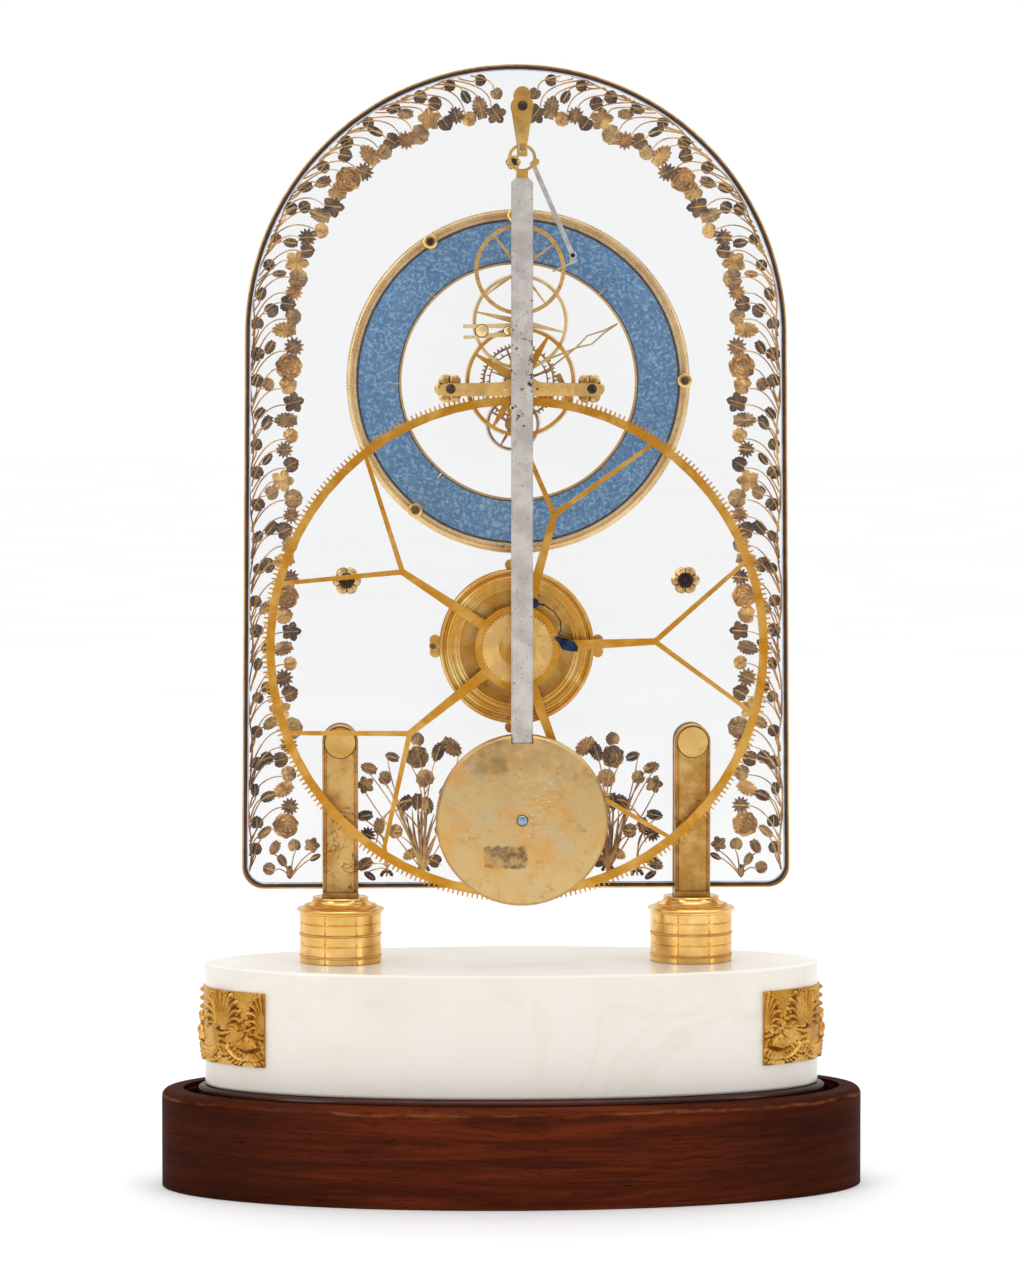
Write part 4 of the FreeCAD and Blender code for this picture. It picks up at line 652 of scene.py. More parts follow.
def garland(side):
    """One side's garland: wires that spring from the edge, a row of flowers and two of small leaves."""
    rng = random.Random(11)
    tones = [Shape() for _ in TONES]
    for start in range(0, int(GARLAND_RUN) - 28, 22):
        stem(tones[0], [edge_point(side, start + 3 * k, TRUNK + 0.9 * math.sin(k * 0.55 + start))
                        for k in range(10)],
             STEM_R * 1.25)
    distance, i = 19.0, 0
    while distance < GARLAND_RUN - 3:
        kind, size, inset, tone = INNER_ROW[i % len(INNER_ROW)]
        size *= rng.uniform(0.92, 1.06)
        centre = edge_point(side, distance, inset + rng.uniform(-0.8, 0.8))
        root = edge_point(side, max(distance - rng.uniform(12, 19), 0.0), TRUNK)
        knee = edge_point(side, distance - 1, TRUNK + rng.uniform(3.0, 6.0))
        inward = heading(side, distance) + side * math.radians(90 - rng.uniform(0, 32))
        sprig(tones[0], tones[tone], kind, centre, size, root, knee, inward, rng.uniform(0.75, 0.95))
        i += 1
        distance += (size + INNER_ROW[i % len(INNER_ROW)][1]) * 0.86
    for start, end, sizes, insets, wires, turns, (back, out), kinds, order, lift, steps in LEAF_ROWS:
        distance, i = start, 0
        while distance < GARLAND_RUN - end:
            size = rng.uniform(*sizes)
            centre = edge_point(side, distance, rng.uniform(*insets))
            root = edge_point(side, max(distance - rng.uniform(*wires), 0.0), TRUNK)
            knee = edge_point(side, distance - back, TRUNK + out)
            angle = heading(side, distance) + side * math.radians(rng.uniform(*turns))
            leaves = tones[order[i % len(order)]]
            sprig(tones[0], leaves, kinds[i % len(kinds)], centre, size, root, knee, angle, lift)
            distance += rng.uniform(*steps)
            i += 1
    return tones


# leaf or flower, size and place from the spray's foot, direction of its tip in degrees, tone
BOUQUET = (
    ("rose", 4.8, 2.5, 48.3, 130, 1), ("round", 3.9, -0.8, 39.1, 60, 1), ("toothed", 4.6, -11.8, 52.5, 40, 1),
    ("toothed", 3.7, -6.3, 50.4, 110, 2), ("heart", 3.0, 2.5, 55.6, 100, 1),
    ("toothed", 2.8, 13.0, 48.3, 200, 3),
    ("toothed", 3.3, 22.8, 43.5, 200, 1), ("lobed", 3.6, 24.4, 36.5, 215, 1),
    ("round", 2.9, 16.2, 39.5, 190, 1),
    ("toothed", 3.2, 24.6, 23.5, 170, 3), ("daisy", 3.4, 23.6, 15.5, 200, 2),
    ("toothed", 3.4, 18.6, 19.0, 95, 1),
    ("round", 3.1, 11.8, 16.8, 170, 1), ("toothed", 3.8, 7.6, 28.6, 130, 2),
    ("toothed", 3.4, 2.5, 29.4, 95, 2),
    ("toothed", 3.4, -1.8, 28.0, 70, 2), ("toothed", 3.1, 5.5, 7.1, 150, 1), ("heart", 3.0, -5.0, 4.2, 30, 2),
    ("toothed", 3.5, 24.8, 3.0, 150, 1), ("bud", 2.6, 22.6, -2.0, 215, 3), ("round", 2.9, -7.6, 17.5, 50, 1),
    ("heart", 2.8, -9.4, 33.0, 60, 3),
)
CORNER = (("round", 2.7, 9.0, 3.6, 20, 1), ("toothed", 3.0, 6.6, 12.6, 120, 1),
          ("lobed", 3.2, -9.0, 13.6, 40, 1),
          ("heart", 2.8, -1.6, 13.4, 80, 1), ("bud", 2.6, 0.4, 2.2, 90, 2), ("toothed", 2.6, 3.6, 7.2, 60, 1),
          ("bud", 2.3, -10.4, 8.4, 330, 2))
GRASS = ((4.6, 26.0, 8.0), (2.4, 31.0, 4.0), (0.2, 29.0, 2.0), (-2.2, 30.0, -1.5), (-4.5, 24.0, -3.5),
         (7.0, 24.0, 11.0), (-6.5, 17.0, -5.0))
TENDRILS = (((2, 18), (12, 34), (20, 18)), ((5, 30), (16, 30), (20, 12)), ((9, 22), (14, 36), (18, 40)))


def bouquet(side, squeeze):
    """Spray that rises from the plate's lower edge beside the bob."""
    tones = [Shape() for _ in TONES]
    foot = Vector((PLATE_X + side * 39.0, 0, PLATE_BOTTOM + 6.5))

    def away(across, up, narrow=squeeze):
        return foot + Vector((side * across * narrow, 0, up))

    second = away(15.5, -2.0)
    for i, (kind, size, across, up, angle, tone) in enumerate(BOUQUET):
        centre = away(across, up)
        root = second if across > 18 and up < 30 else foot
        lean = across * 0.15 + (4.0 if i % 2 else -4.5) if root is foot else (across - 15.5) * -0.8
        knee = root.lerp(centre, 0.55) + Vector((side * lean * squeeze, 0, 6.0))
        direction = math.radians(angle if side > 0 else 180 - angle)
        sprig(tones[0], tones[tone], kind, centre, size, root, knee, direction, 0.8)
    for across, up, bow in GRASS:
        path = bent(foot, away(bow * 0.9 - across * 0.6, up * 0.5, 1), away(across, up, 1), 8)
        tones[1].tube([on_glass(p, 1.0) for p in path], [0.85 * (1 - (k / 8) ** 2 * 0.8) for k in range(9)],
                      6)
    for curve in TENDRILS:
        stem(tones[0], bent(*[away(*p) for p in curve], 10), STEM_R * 1.1)
    for base in (foot, second):
        ring = [around(base.x, base.z, 2.2, t) for t in (0.2, 0.9, 1.6, 2.3, 3.0)]
        tones[2].tube([on_glass(p, 0.9) for p in ring], [0.8] * 5, 8)
    return tones


def corner_sprigs(side):
    """Low spray in the plate's lower corner."""
    tones = [Shape() for _ in TONES]
    foot = Vector((PLATE_X + side * 95.0, 0, PLATE_BOTTOM + 4.0))
    for kind, size, across, up, angle, tone in CORNER:
        centre = foot + Vector((side * across, 0, up))
        knee = foot.lerp(centre, 0.4) + Vector((side * across * 0.1, 0, 4.0))
        direction = math.radians(angle if side > 0 else 180 - angle)
        sprig(tones[0], tones[tone], kind, centre, size, foot, knee, direction, 0.8)
    return tones


TONES = ("gilt_flowers", "gilt_dusky", "gilt_umber", "gilt_shadowed")


def make_flowers():
    for (side, name), squeeze in zip(SIDES, (1.0, 0.8)):
        for group, shapes, node in (("garland_", garland(side), "garlands"),
                                    ("bouquet_", bouquet(side, squeeze), "bouquets"),
                                    ("corner_sprig_", corner_sprigs(side), "garlands")):
            for tone, shape in zip(TONES, shapes):
                if shape.faces:
                    piece = group + name + "_" + tone.split("_")[1]
                    shape.piece(piece, tone, slot="gilt_flowers", replaces=node)


# --- relief plaques ---------------------------------------------------------------------
GROUND_T = 0.7
PLAQUE_EDGE_X = 103.6


class Wrap:
    """Maps (distance round the plinth's end, height, distance out) to a point."""

    def __init__(self, end):
        self.end = end
        self.lengths, self.angles = [0.0], [0.0]
        t, dt = 0.0, 0.0004
        while MARBLE_HIGH.x * math.cos(t) > PLAQUE_EDGE_X - 1:
            step = math.hypot(MARBLE_HIGH.x * math.sin(t), MARBLE_HIGH.y * math.cos(t)) * dt
            t += dt
            self.lengths.append(self.lengths[-1] + step)
            self.angles.append(t)
            if MARBLE_HIGH.x * math.cos(t) > PLAQUE_EDGE_X:
                self.half = self.lengths[-1]

    def __call__(self, u, v, w):
        k = min(max(bisect.bisect_left(self.lengths, abs(u)) - 1, 0), len(self.lengths) - 2)
        (l0, l1), (t0, t1) = self.lengths[k:k + 2], self.angles[k:k + 2]
        t = math.copysign(t0 + (t1 - t0) * (abs(u) - l0) / (l1 - l0), u)
        out = Vector((math.cos(t) / MARBLE_HIGH.x, math.sin(t) / MARBLE_HIGH.y, 0)).normalized()
        p = Vector((MARBLE_HIGH.x * math.cos(t), MARBLE_HIGH.y * math.sin(t), v)) + out * w
        return Vector((self.end * p.x, p.y, p.z))


class Relief:
    """Height field of a cast panel, raised stroke by stroke."""

    def __init__(self, wrap, low, high, gap):
        self.wrap, self.half, self.low = wrap, wrap.half, low
        self.columns = int(2 * self.half / gap) + 1
        self.rows = int((high - low) / gap) + 1
        self.du = 2 * self.half / (self.columns - 1)
        self.dv = (high - low) / (self.rows - 1)
        rng = random.Random(5)
        self.heights = [[rng.uniform(0.0, 0.09) for _ in range(self.columns)] for _ in range(self.rows)]

    def point(self, i, j, out):
        return self.wrap(i * self.du - self.half, j * self.dv + self.low, out)

    def surface(self, i, j):
        return self.point(i, j, GROUND_T + self.heights[j][i])

    def raised(self, u, v, reach, rise):
        """Raises every height within reach of (u, v) to at least rise(u, v)."""
        i0, i1 = [int((u + way * reach + self.half) / self.du) for way in (-1, 1)]
        j0, j1 = [int((v + way * reach - self.low) / self.dv) for way in (-1, 1)]
        for j in range(max(0, j0), min(self.rows - 1, j1 + 1) + 1):
            row = self.heights[j]
            for i in range(max(0, i0), min(self.columns - 1, i1 + 1) + 1):
                row[i] = max(row[i], rise(i * self.du - self.half, j * self.dv + self.low))

    def dot(self, u, v, r, rise):
        self.raised(u, v, r, lambda a, b: rise * math.sqrt(max(0.0, 1 - (math.hypot(a - u, b - v) / r) ** 2)))

    def ridge(self, p, q, widths, rises):
        """Rounded ridge from p to q, with a width and a rise at each end."""
        (u0, v0), (u1, v1) = p, q
        length2 = max((u1 - u0) ** 2 + (v1 - v0) ** 2, 1e-9)

        def rise(u, v):
            t = min(1.0, max(0.0, ((u - u0) * (u1 - u0) + (v - v0) * (v1 - v0)) / length2))
            wide = widths[0] + (widths[1] - widths[0]) * t
            away = math.hypot(u - u0 - (u1 - u0) * t, v - v0 - (v1 - v0) * t)
            return (rises[0] + (rises[1] - rises[0]) * t) * math.sqrt(max(0.0, 1 - (away / wide) ** 2))

        self.raised((u0 + u1) / 2, (v0 + v1) / 2, max(widths) + math.sqrt(length2) / 2, rise)

    def curve(self, a, b, c, start, end, rise, belly=None):
        """Curved ridge from a to c that grows from the start width to the end width."""
        line = bent(Vector(a), Vector(b), Vector(c), 10)
        widths, rises = [], []
        for k in range(11):
            t = k / 10
            swell = math.sin(math.pi * t)
            widths.append(start + (end - start) * t if belly is None else start + (belly - start) * swell)
            rises.append(rise * (0.35 + 0.65 * t if belly is None else 0.3 + 0.7 * swell))
        for k in range(10):
            self.ridge(line[k], line[k + 1], widths[k:k + 2], rises[k:k + 2])

    def leaf(self, u, v, length, lobes, rise):
        """Upright acanthus leaf: a midrib with curled lobes on both sides."""
        self.curve((u, v), (u, v + length * 0.5), (u, v + length), 0.5, 0.45, rise)
        for k in range(lobes):
            a = v + length * (0.12 + 0.75 * k / lobes)
            reach = length * 0.36 * math.sin(math.pi * (0.25 + 0.6 * k / lobes))
            for side in (1, -1):
                self.curve((u, a), (u + side * reach * 0.9, a + reach * 0.5),
                           (u + side * reach, a + reach * 1.1), 0.35, 0.62, rise * 0.8)


# end of each frond and the knee of its curve, from the middle outwards
FRONDS = ((0.0, 17.3, 0.0, 9.0), (3.0, 16.9, 1.6, 11.5), (6.0, 15.3, 2.9, 12.5), (8.8, 12.6, 4.1, 12.2),
          (10.6, 8.9, 5.2, 10.6), (11.2, 5.0, 6.0, 8.0), (9.9, 1.6, 6.4, 5.0))


def palmette(relief, u, v, sides=(-1, 1), flare=1.0):
    """Fan of bulb-ended fronds over a shallow dish, with a bead below."""
    for k, (a, b, knee_a, knee_b) in enumerate(FRONDS):
        for side in sides:
            tip = (u + side * a * flare, v + b)
            relief.curve((u + side * 0.3 * k, v + 0.6), (u + side * knee_a * flare, v + knee_b), tip, 0.3,
                         0.8, 1.5)
            relief.dot(*tip, 1.1, 1.8)
    relief.curve((u - 5.6, v + 0.1), (u, v - 2.2), (u + 5.6, v + 0.1), 0.35, 0.35, 1.6, belly=1.0)
    relief.dot(u, v - 3.4, 1.25, 1.7)
    relief.dot(u, v + 1.7, 1.5, 0.9)


def hanging_flower(relief, u):
    """Bud, three sepals and an open umbrella with a scalloped edge."""
    relief.dot(u - 0.4, 71.3, 1.15, 1.5)
    relief.curve((u - 0.4, 71.0), (u - 0.5, 69.5), (u - 0.6, 67.6), 0.55, 0.4, 0.8)
    for a, b in ((-1.9, 66.9), (0.2, 66.5), (1.9, 68.0)):
        relief.curve((u - 0.6, 68.4), (u + a * 0.4, b + 1.2), (u + a, b), 0.4, 0.75, 1.3)
    for a in [(k - 4) / 4.0 for k in range(9)]:
        relief.curve((u + a * 1.6, 65.0 - 0.4 * a * a), (u + a * 3.8, 64.8 - 0.9 * abs(a)),
                     (u + a * 4.6, 60.6 + 1.4 * abs(a)), 0.7, 0.85, 2.5)
    relief.dot(u, 63.9, 2.6, 2.2)
    relief.curve((u - 0.6, 61.0), (u - 1.4, 59.4), (u - 0.8, 57.4), 0.45, 0.6, 0.8)


def scrolls(relief, u, side):
    """Acanthus that sweeps up from the foot of the panel on both sides of a flower."""
    for way in (-side, side):
        relief.curve((u, 56.2), (u + way * 6.0, 54.4), (u + way * 11.2, 61.4), 0.6, 1.0, 1.6)
        for t in [k / 4 for k in range(5)]:
            a, b = u + way * (2.0 + 7.6 * t), 55.6 + 3.4 * t * t
            relief.curve((a, b), (a + way * 0.6, b + 2.2), (a - way * 0.9, b + 3.2 - 0.6 * t), 0.55, 0.8,
                         1.35)
            relief.curve((a, b), (a + way * 1.4, b - 0.6), (a + way * 2.2, b - 1.5), 0.5, 0.72, 1.2)
    relief.leaf(u, 55.0, 3.6, 3, 1.2)
    for k in range(6):
        away = side * (3.4 + 1.1 * k)
        relief.curve((u + away * 1.15, 60.2 + 0.2 * k), (u + away, 58.6), (u + away * 0.7, 57.4), 0.16,
                     0.16, 0.35)


def ornament(relief):
    """Palmettes, flowers and scrolls on both sides of a middle flower."""
    base = 67.4
    for side in (-1, 1):
        palmette(relief, side * 20.4, base)
        palmette(relief, side * (relief.half + 0.4), base - 0.6, (-side,), 0.78)
        hanging_flower(relief, side * 35.0)
        scrolls(relief, side * 35.0, side)
        relief.leaf(side * 20.4, 55.4, 5.8, 4, 1.5)
        scrolls(relief, side * 9.5, side)
    for v, r, rise in ((82.6, 1.1, 1.5), (79.0, 1.1, 1.5), (75.4, 1.1, 1.5), (72.4, 1.5, 2.0),
                       (65.4, 3.1, 2.6)):
        relief.dot(0.0, v, r, rise)
    for a in (-4.0, -2.2, 0.0, 2.2, 4.0):
        relief.curve((0.0, 67.0), (a * 0.4, 69.0), (a, 71.2 - 0.2 * abs(a)), 0.5, 0.95, 1.9)
    for a in [(k - 4) / 4.0 for k in range(9)]:
        relief.curve((a * 1.2, 65.5), (a * 3.6, 64.0), (a * 4.6, 61.6 + 0.9 * abs(a)), 0.6, 0.85, 2.3)
    relief.leaf(0.0, 54.2, 5.6, 4, 1.9)


def plaque(end, name):
    """Gilt relief that wraps one end of the plinth, with painted shade laid as a brown sheet in its hollows.
    """
    relief = Relief(Wrap(end), PLAQUE_LOW.z + 0.3, PLAQUE_HIGH.z - 0.3, 0.30)
    ornament(relief)
    shape = Shape()
    across = range(relief.columns)
    shape.loft([[relief.surface(i, j) for i in across] + [relief.point(i, j, 0.03) for i in across[::-1]]
                for j in range(relief.rows)])
    shape.piece(name, "gilt_relief", slot="gilt_relief", replaces="plaques", sharp=70.0)
    # painted shade: a brown sheet just above the hollows of the relief
    hollow_shade_sheet = Shape()
    hollow_shade_sheet.add(*hollows(relief))
    hollow_shade_sheet.piece(name + "_bloom", "hollow_shade_brown", slot="gilt_relief", sharp=70.0)


def moving_mean(line, span=4):
    parts = [line[max(0, k - span):k + span + 1] for k in range(len(line))]
    return [sum(part) / len(part) for part in parts]


def hollows(relief):
    """Points and faces just above those parts that lie lower than their surroundings."""
    rows = [moving_mean(row) for row in relief.heights]
    mean = list(zip(*[moving_mean(column) for column in zip(*rows)]))
    index, faces = {}, []
    for j in range(relief.rows - 1):
        for i in range(relief.columns - 1):
            corners = ((i, j), (i + 1, j), (i + 1, j + 1), (i, j + 1))
            if all(mean[b][a] - relief.heights[b][a] > 0.24 for a, b in corners):
                faces.append(tuple(index.setdefault(corner, len(index)) for corner in corners))
    return [relief.point(i, j, GROUND_T + relief.heights[j][i] + 0.02) for i, j in index], faces


# --- sockets, pillars and the plate's edge ----------------------------------------------
SOCKET_DX = 74.0
SOCKET_R = 17.2
FLANGE_R = 18.35
BAND_HEIGHTS = (97.0, 101.6, 106.2, 110.8)


def socket_profile():
    base, top, r, lip = SOCKET_LOW.z, SOCKET_HIGH.z, SOCKET_R, FLANGE_R
    profile = [(r - 0.4, base + 0.01), (r, base + 0.4)]
    for k, z in enumerate(BAND_HEIGHTS):
        depth, low, high = (0.28, 0.1, 0.35) if k % 2 else (0.3, 0.45, 0.6)
        profile += [(r, z - high), (r - depth, z - low), (r - depth, z + low), (r, z + high)]
    profile += shifted([(0, 20.6), (0.35, 20.9), (0.5, 21.5)], r, base)
    profile += shifted([(-0.35, 21.7), (0, 22.0), (0, 22.5), (-0.35, 22.9)], lip, base)
    profile += shifted([(r + 0.1, 23.0), (15.6, 23.05), (15.3, 23.3), (14.7, 23.5), (14.2, 23.8),
                        (13.9, 24.2),
                        (13.5, 24.4), (12.9, 24.7), (12.4, 25.1), (12.0, 25.6), (11.75, 26.1), (11.65, 26.5),
                        (11.9, 26.8), (11.9, 27.1)], 0, base)
    return profile + [(11.6, top - 0.1), (11.3, top)]


def engraved(t, z):
    """Upright engraved lines on the drum, staggered from band to band."""
    levels = [SOCKET_LOW.z, *BAND_HEIGHTS, SOCKET_LOW.z + 21.2]
    at = (t * 8 / TAU + 0.5) % 1.0
    inside = any(low + 0.6 < z < high - 0.6 for low, high in zip(levels, levels[1:]))
    return -0.3 if inside and min(at, 1 - at) < 0.017 else 0.0


def with_rows(profile, gap):
    """Profile with extra rows, so that engraved lines have somewhere to start and stop."""
    rows = [profile[0]]
    for a, b in zip(profile, profile[1:]):
        count = max(1, int(abs(b[1] - a[1]) / gap))
        rows += [(a[0] + (b[0] - a[0]) * k / count, a[1] + (b[1] - a[1]) * k / count)
                 for k in range(1, count + 1)]
    return rows


def beads(shape, centre, r, z, size, count):
    outline = [(size * math.sin(math.pi * k / 4), -size * math.cos(math.pi * k / 4)) for k in range(5)]
    for i in range(count):
        shape.lathe(spun(centre, "z", r, TAU * i / count, z), outline, 6)


def sockets():
    """Turned feet with beaded bands, engraved panels and a roped collar."""
    segments, half_x, half_y, depth = 320, 7.7, 7.9, 5.0
    turns = [TAU * i / segments for i in range(segments)]
    for side, name in SIDES:
        shape = Shape()
        centre = Vector((PLATE_X + side * SOCKET_DX, 0, 0))
        rings = [[spun(centre, "z", r + engraved(t, h), t, h) for t in turns]
                 for r, h in with_rows(socket_profile(), 0.55)]
        rings += [[spun(centre, "z", min(half_x / max(abs(math.cos(t)), 1e-6),
                                         half_y / max(abs(math.sin(t)), 1e-6)),
                        t, z) for t in turns] for z in (SOCKET_HIGH.z, SOCKET_HIGH.z - depth)]
        shape.loft(rings)
        for z in BAND_HEIGHTS[::2]:
            beads(shape, centre, SOCKET_R - 0.1, z, 0.44, 120)
        beads(shape, centre, 14.75, SOCKET_LOW.z + 23.85, 0.7, 72)
        shape.piece("socket_" + name, "gilt_turned", slot="gilt", replaces="sockets", sharp=28.0)


def edge_outline(inset, corner):
    """Plate outline moved in by inset: up the right side, over the top and down the left."""
    low, half = PLATE_BOTTOM + inset + corner, PLATE_HALF_LOW - inset - corner
    turns = [math.pi / 2 * k / 12 for k in range(13)]
    points = [around(PLATE_X + half, low, corner, t - math.pi / 2) for t in turns]
    points += [around(PLATE_X, PLATE_SPRING, PLATE_HALF - inset, math.pi * k / 96) for k in range(97)]
    return points + [around(PLATE_X - half, low, corner, t + math.pi) for t in turns]


def edge_strip(name, inset, width, low, high, paint):
    """Thin strip that follows the plate's edge."""
    corner = 8.2
    outer, inner = edge_outline(inset, corner), edge_outline(inset + width, corner - width)
    shape = Shape()
    shape.loft([[Vector((p.x, y, p.z)) for p in ring] for ring, y in (
        (outer, low), (inner, low), (inner, high), (outer, high), (outer, low))], False)
    shape.piece(name, paint, slot="plug_dark")


def pillars():
    """Forked uprights with a filleted rear face, slotted over the glass, and a dark ring round each boss that
    paints its shadow.
    """
    half, deep = PILLAR_HIGH.x - PILLAR.x - SOCKET_DX, PILLAR_HIGH.y - PILLAR.y
    gap, lip, relief, bevel = GLASS_HIGH.y + 0.1, 1.15, 0.7, 0.4
    crown, fork = PILLAR_HIGH.z - half, PLATE_BOTTOM - 1
    for side, name in SIDES:
        x = PLATE_X + side * SOCKET_DX
        shape = Shape()
        for face in (-1, 1):
            rows = ((0, gap), (0, deep - bevel), (bevel, deep), (lip - bevel, deep), (lip, deep - relief),
                    (lip + 0.35, deep - relief), (lip + 0.7, deep - 0.12), (lip + 1.2, deep - 0.1))
            shape.loft([[Vector((x - half + inset, face * y, fork)),
                         Vector((x + half - inset, face * y, fork))]
                        + [around(x, crown, half - inset, math.pi * k / 16, face * y) for k in range(17)]
                        for inset, y in rows])
        shape.block((x - half, -deep, PILLAR_LOW.z), (x + half, deep, PLATE_BOTTOM - 0.95), 0.3)
        piece = shape.piece("pillar_" + name, "gilt_pillar", slot="gilt", replaces="pillars", sharp=24.0)
        carved(piece, drill(Vector((x, 0, crown)), 1.62, -9, 9),
               drill(Vector((x - side * 0.4, 0, PILLAR_LOW.z + 9.5)), 0.55, -9.5, 1.4 - deep, 20))
    for side, name in SIDES:
        # dark ring round each boss: painted shadow of the boss on the pillar's face
        seat = Shape()
        seat.hoop(Vector((PLATE_X + side * SOCKET_DX, 0, PILLAR_HIGH.z - 7.5)), shifted(
            [(6.32, 0.1), (6.32, -0.25), (6.5, -0.34), (6.72, -0.25), (6.8, 0.1)], 0, PILLAR_LOW.y), 96)
        seat.piece("boss_shadow_ring_" + name, "gilt_umber", slot="gilt")


# --- dial frame and movement ------------------------------------------------------------
def bezel():
    """Knurled frame of the dial, with a groove turned in its back and a dark line against the enamel."""
    centre = Vector((DIAL.x, 0, DIAL.z))
    back, front = BEZEL_LOW.y, BEZEL_HIGH.y
    seat, outer = (ENAMEL_HIGH.x - ENAMEL_LOW.x) / 2 + 0.1, BEZEL_HIGH.x - DIAL.x
    rows = shifted([(0, 1.1), (0, 0.25), (0.25, 0), (1.15, 0), (1.3, 0.3), (1.45, 0.9), (1.75, 0.9),
                    (1.95, 0.3),
                    (2.15, 0.1)], seat, back)
    rows += shifted([(-1.25, 0.1), (-0.9, 0.3), (-0.75, 0.8), (-0.05, 0.9), (-0.05, 2.2), (-0.9, 2.5)],
                    outer, back)
    rows += shifted([(-0.9, -0.4), (-1.3, 0)], outer, front) + shifted([(-0.6, 0), (-1.2, -0.5)], seat, front)
    rows += shifted([(-1.2, 2.55), (0, 2.5), (0, 1.1)], seat, back)
    segments, groove = 3 * 356, 0.45
    shape = Shape()
    shape.loft([[spun(centre, "y", r - (groove if abs(r - outer) < 0.1 and i % 3 == 0 else 0),
                      TAU * i / segments, h)
                 for i in range(segments)] for r, h in rows], False)
    shape.piece("bezel_turned", "bezel_brass", slot="gilt", replaces="dial_bezel", sharp=40.0)
    for name, inner, wide in (("bezel_shadow", seat - 0.95, 0.93), ("hoop_shadow", DIAL_HOLE + 0.95, 0.5)):
        line = Shape()
        line.hoop(centre, shifted([(0, 0.99), (0, 0.9), (wide, 0.9), (wide, 0.99)], inner, back), 240)
        line.piece(name, "plug_dark", slot="plug_dark")


def washers():
    """Domed washers under the screws that hold the dial to the glass."""
    shape = Shape()
    for angle in (0.3, 91.7, 122.6, 230.9):
        shape.hoop(around(DIAL.x, DIAL.z, 69.3, math.radians(angle)), shifted(
            [(1.17, 0), (1.17, -0.7), (1.75, -0.7), (1.85, -1.0), (2.4, -0.98), (2.9, -0.75), (3.1, -0.3),
             (3.1, 0)],
            0, box("dial_washers")[1].y), 48)
    shape.piece("washers_turned", "gilt_turned", slot="gilt", replaces="dial_washers")


def rosette(name, x, z, r, hole):
    """Six-petalled washer with domed petals and scored gaps."""
    thick = 0.5

    def height(s, t):
        petal = abs(math.cos(3 * t))
        dome = math.sin(math.pi * min(1.0, max(0.0, (s - 0.1) / 0.9)) ** 1.6)
        return 0.35 * max(0.0, 1.0 - 4.0 * petal) + 0.25 - 0.8 * petal ** 0.35 * dome

    shape = Shape()
    shape.sheet(lambda a, b, c: Vector((x + a, GLASS_LOW.y - thick - 0.02 + c, z + b)),
                lambda t: r * (0.82 + 0.18 * abs(math.cos(3 * t)) ** 0.6), height, thick, 10, 72, hole / r)
    shape.piece(name, "gilt_petal", slot="gilt_flowers", replaces="rosettes", sharp=40.0)


def rosettes():
    for side, name in SIDES:
        rosette("plate_rosette_" + name, PLATE_X + side * 71.1, 254.8, 6.0, 3.5)
        rosette("bridge_rosette_" + name, DIAL.x + side * 29.3, BRIDGE_Z, 6.4, 1.6)
    rosette("cock_rosette", PLATE_X - 1.3, 429.7, 3.2, 0.9)


def barrel_cover():
    """Moulded cover with fine turned rings."""
    shape = Shape()
    shape.hoop(Vector((BARREL.x, 0, BARREL.z)), shifted([
        (3.56, 0), (32.4, 0), (32.4, -1.0), (32.2, -1.45), (31.7, -1.75), (31.1, -1.75), (30.6, -1.45),
        (30.4, -1.1),
        (29.9, -1.1), (29.7, -1.5), (29.3, -1.9), (28.8, -2.1), (28.3, -2.1), (28.0, -1.95), (27.8, -2.1),
        (27.3, -2.1), (27.0, -1.9), (25.6, -1.85), (25.4, -2.0), (25.1, -2.0), (24.9, -1.85), (24.5, -1.85),
        (24.3, -2.0), (24.0, -2.0), (23.8, -1.85), (9.6, -1.95), (9.2, -2.4), (8.0, -2.6), (7.6, -4.6),
        (3.56, -4.6)], 0, BARREL_HIGH.y), 160)
    shape.piece("barrel_cover_turned", "gilt_barrel", slot="gilt_barrel", replaces="barrel_cover", sharp=50.0)


def bob():
    """Domed disc with a rounded edge, let in for the rod."""
    front, back, rim = BOB_LOW.y + 0.5, BOB_HIGH.y, BOB_HIGH.x - BOB.x
    face = [(r, front + 1.5 * (r / rim) ** 2.4) for r in (0, 3, 6, 10, 14, 18, 22, 26, 29, 31.5, 33.4, 34.6)]
    edge = [(35.3, front + 2.1), (rim, front + 3.1), (rim, back - 2.2), (35.3, back - 1.2),
            (34.4, back - 0.7)]
    rear = [(r, back - 0.6 * (r / rim) ** 2) for r in (30, 24, 16, 8, 0)]
    shape = Shape()
    shape.lathe(Vector((BOB.x, 0, BOB.z)), face + edge + rear, 144)
    clear = 0.08
    carved(shape.piece("bob_disc", "gilt_bob", "pendulum", "gilt_bob", "pendulum_bob"),
           chisel((ROD_LOW.x - clear, ROD_LOW.y - 9, ROD_LOW.z - clear),
                  (ROD_HIGH.x + clear, ROD_HIGH.y + clear, ROD_LOW.z + 20)))


def button(name, centre, profile, paint, body, slot):
    """Small turned head, drawn from its front to its back."""
    shape = Shape()
    shape.lathe(centre, profile, 48)
    return shape.piece(name, paint, body, slot)


def bob_screw():
    """Steel screw in the middle of the bob, in a dark seat."""
    centre, face = Vector((BOB.x, 0, BOB.z)), BOB_LOW.y + 0.5
    button("bob_screw_seat", centre, shifted([(0, -0.1), (2.4, -0.1), (2.6, 0.3), (0, 0.3)], 0, face),
           "gilt_umber", "pendulum", "gilt_bob")
    head = [(0, -1.3), (1.2, -1.27), (1.8, -1.15), (2.05, -0.9), (2.05, 0), (0, 0)]
    carved(button("bob_screw", centre, shifted(head, 0, face), "screw_steel", "pendulum", "blue_steel"),
           chisel((BOB.x - 3, face - 2, BOB.z - 0.2), (BOB.x + 3, face - 1.06, BOB.z + 0.2), 0.02))


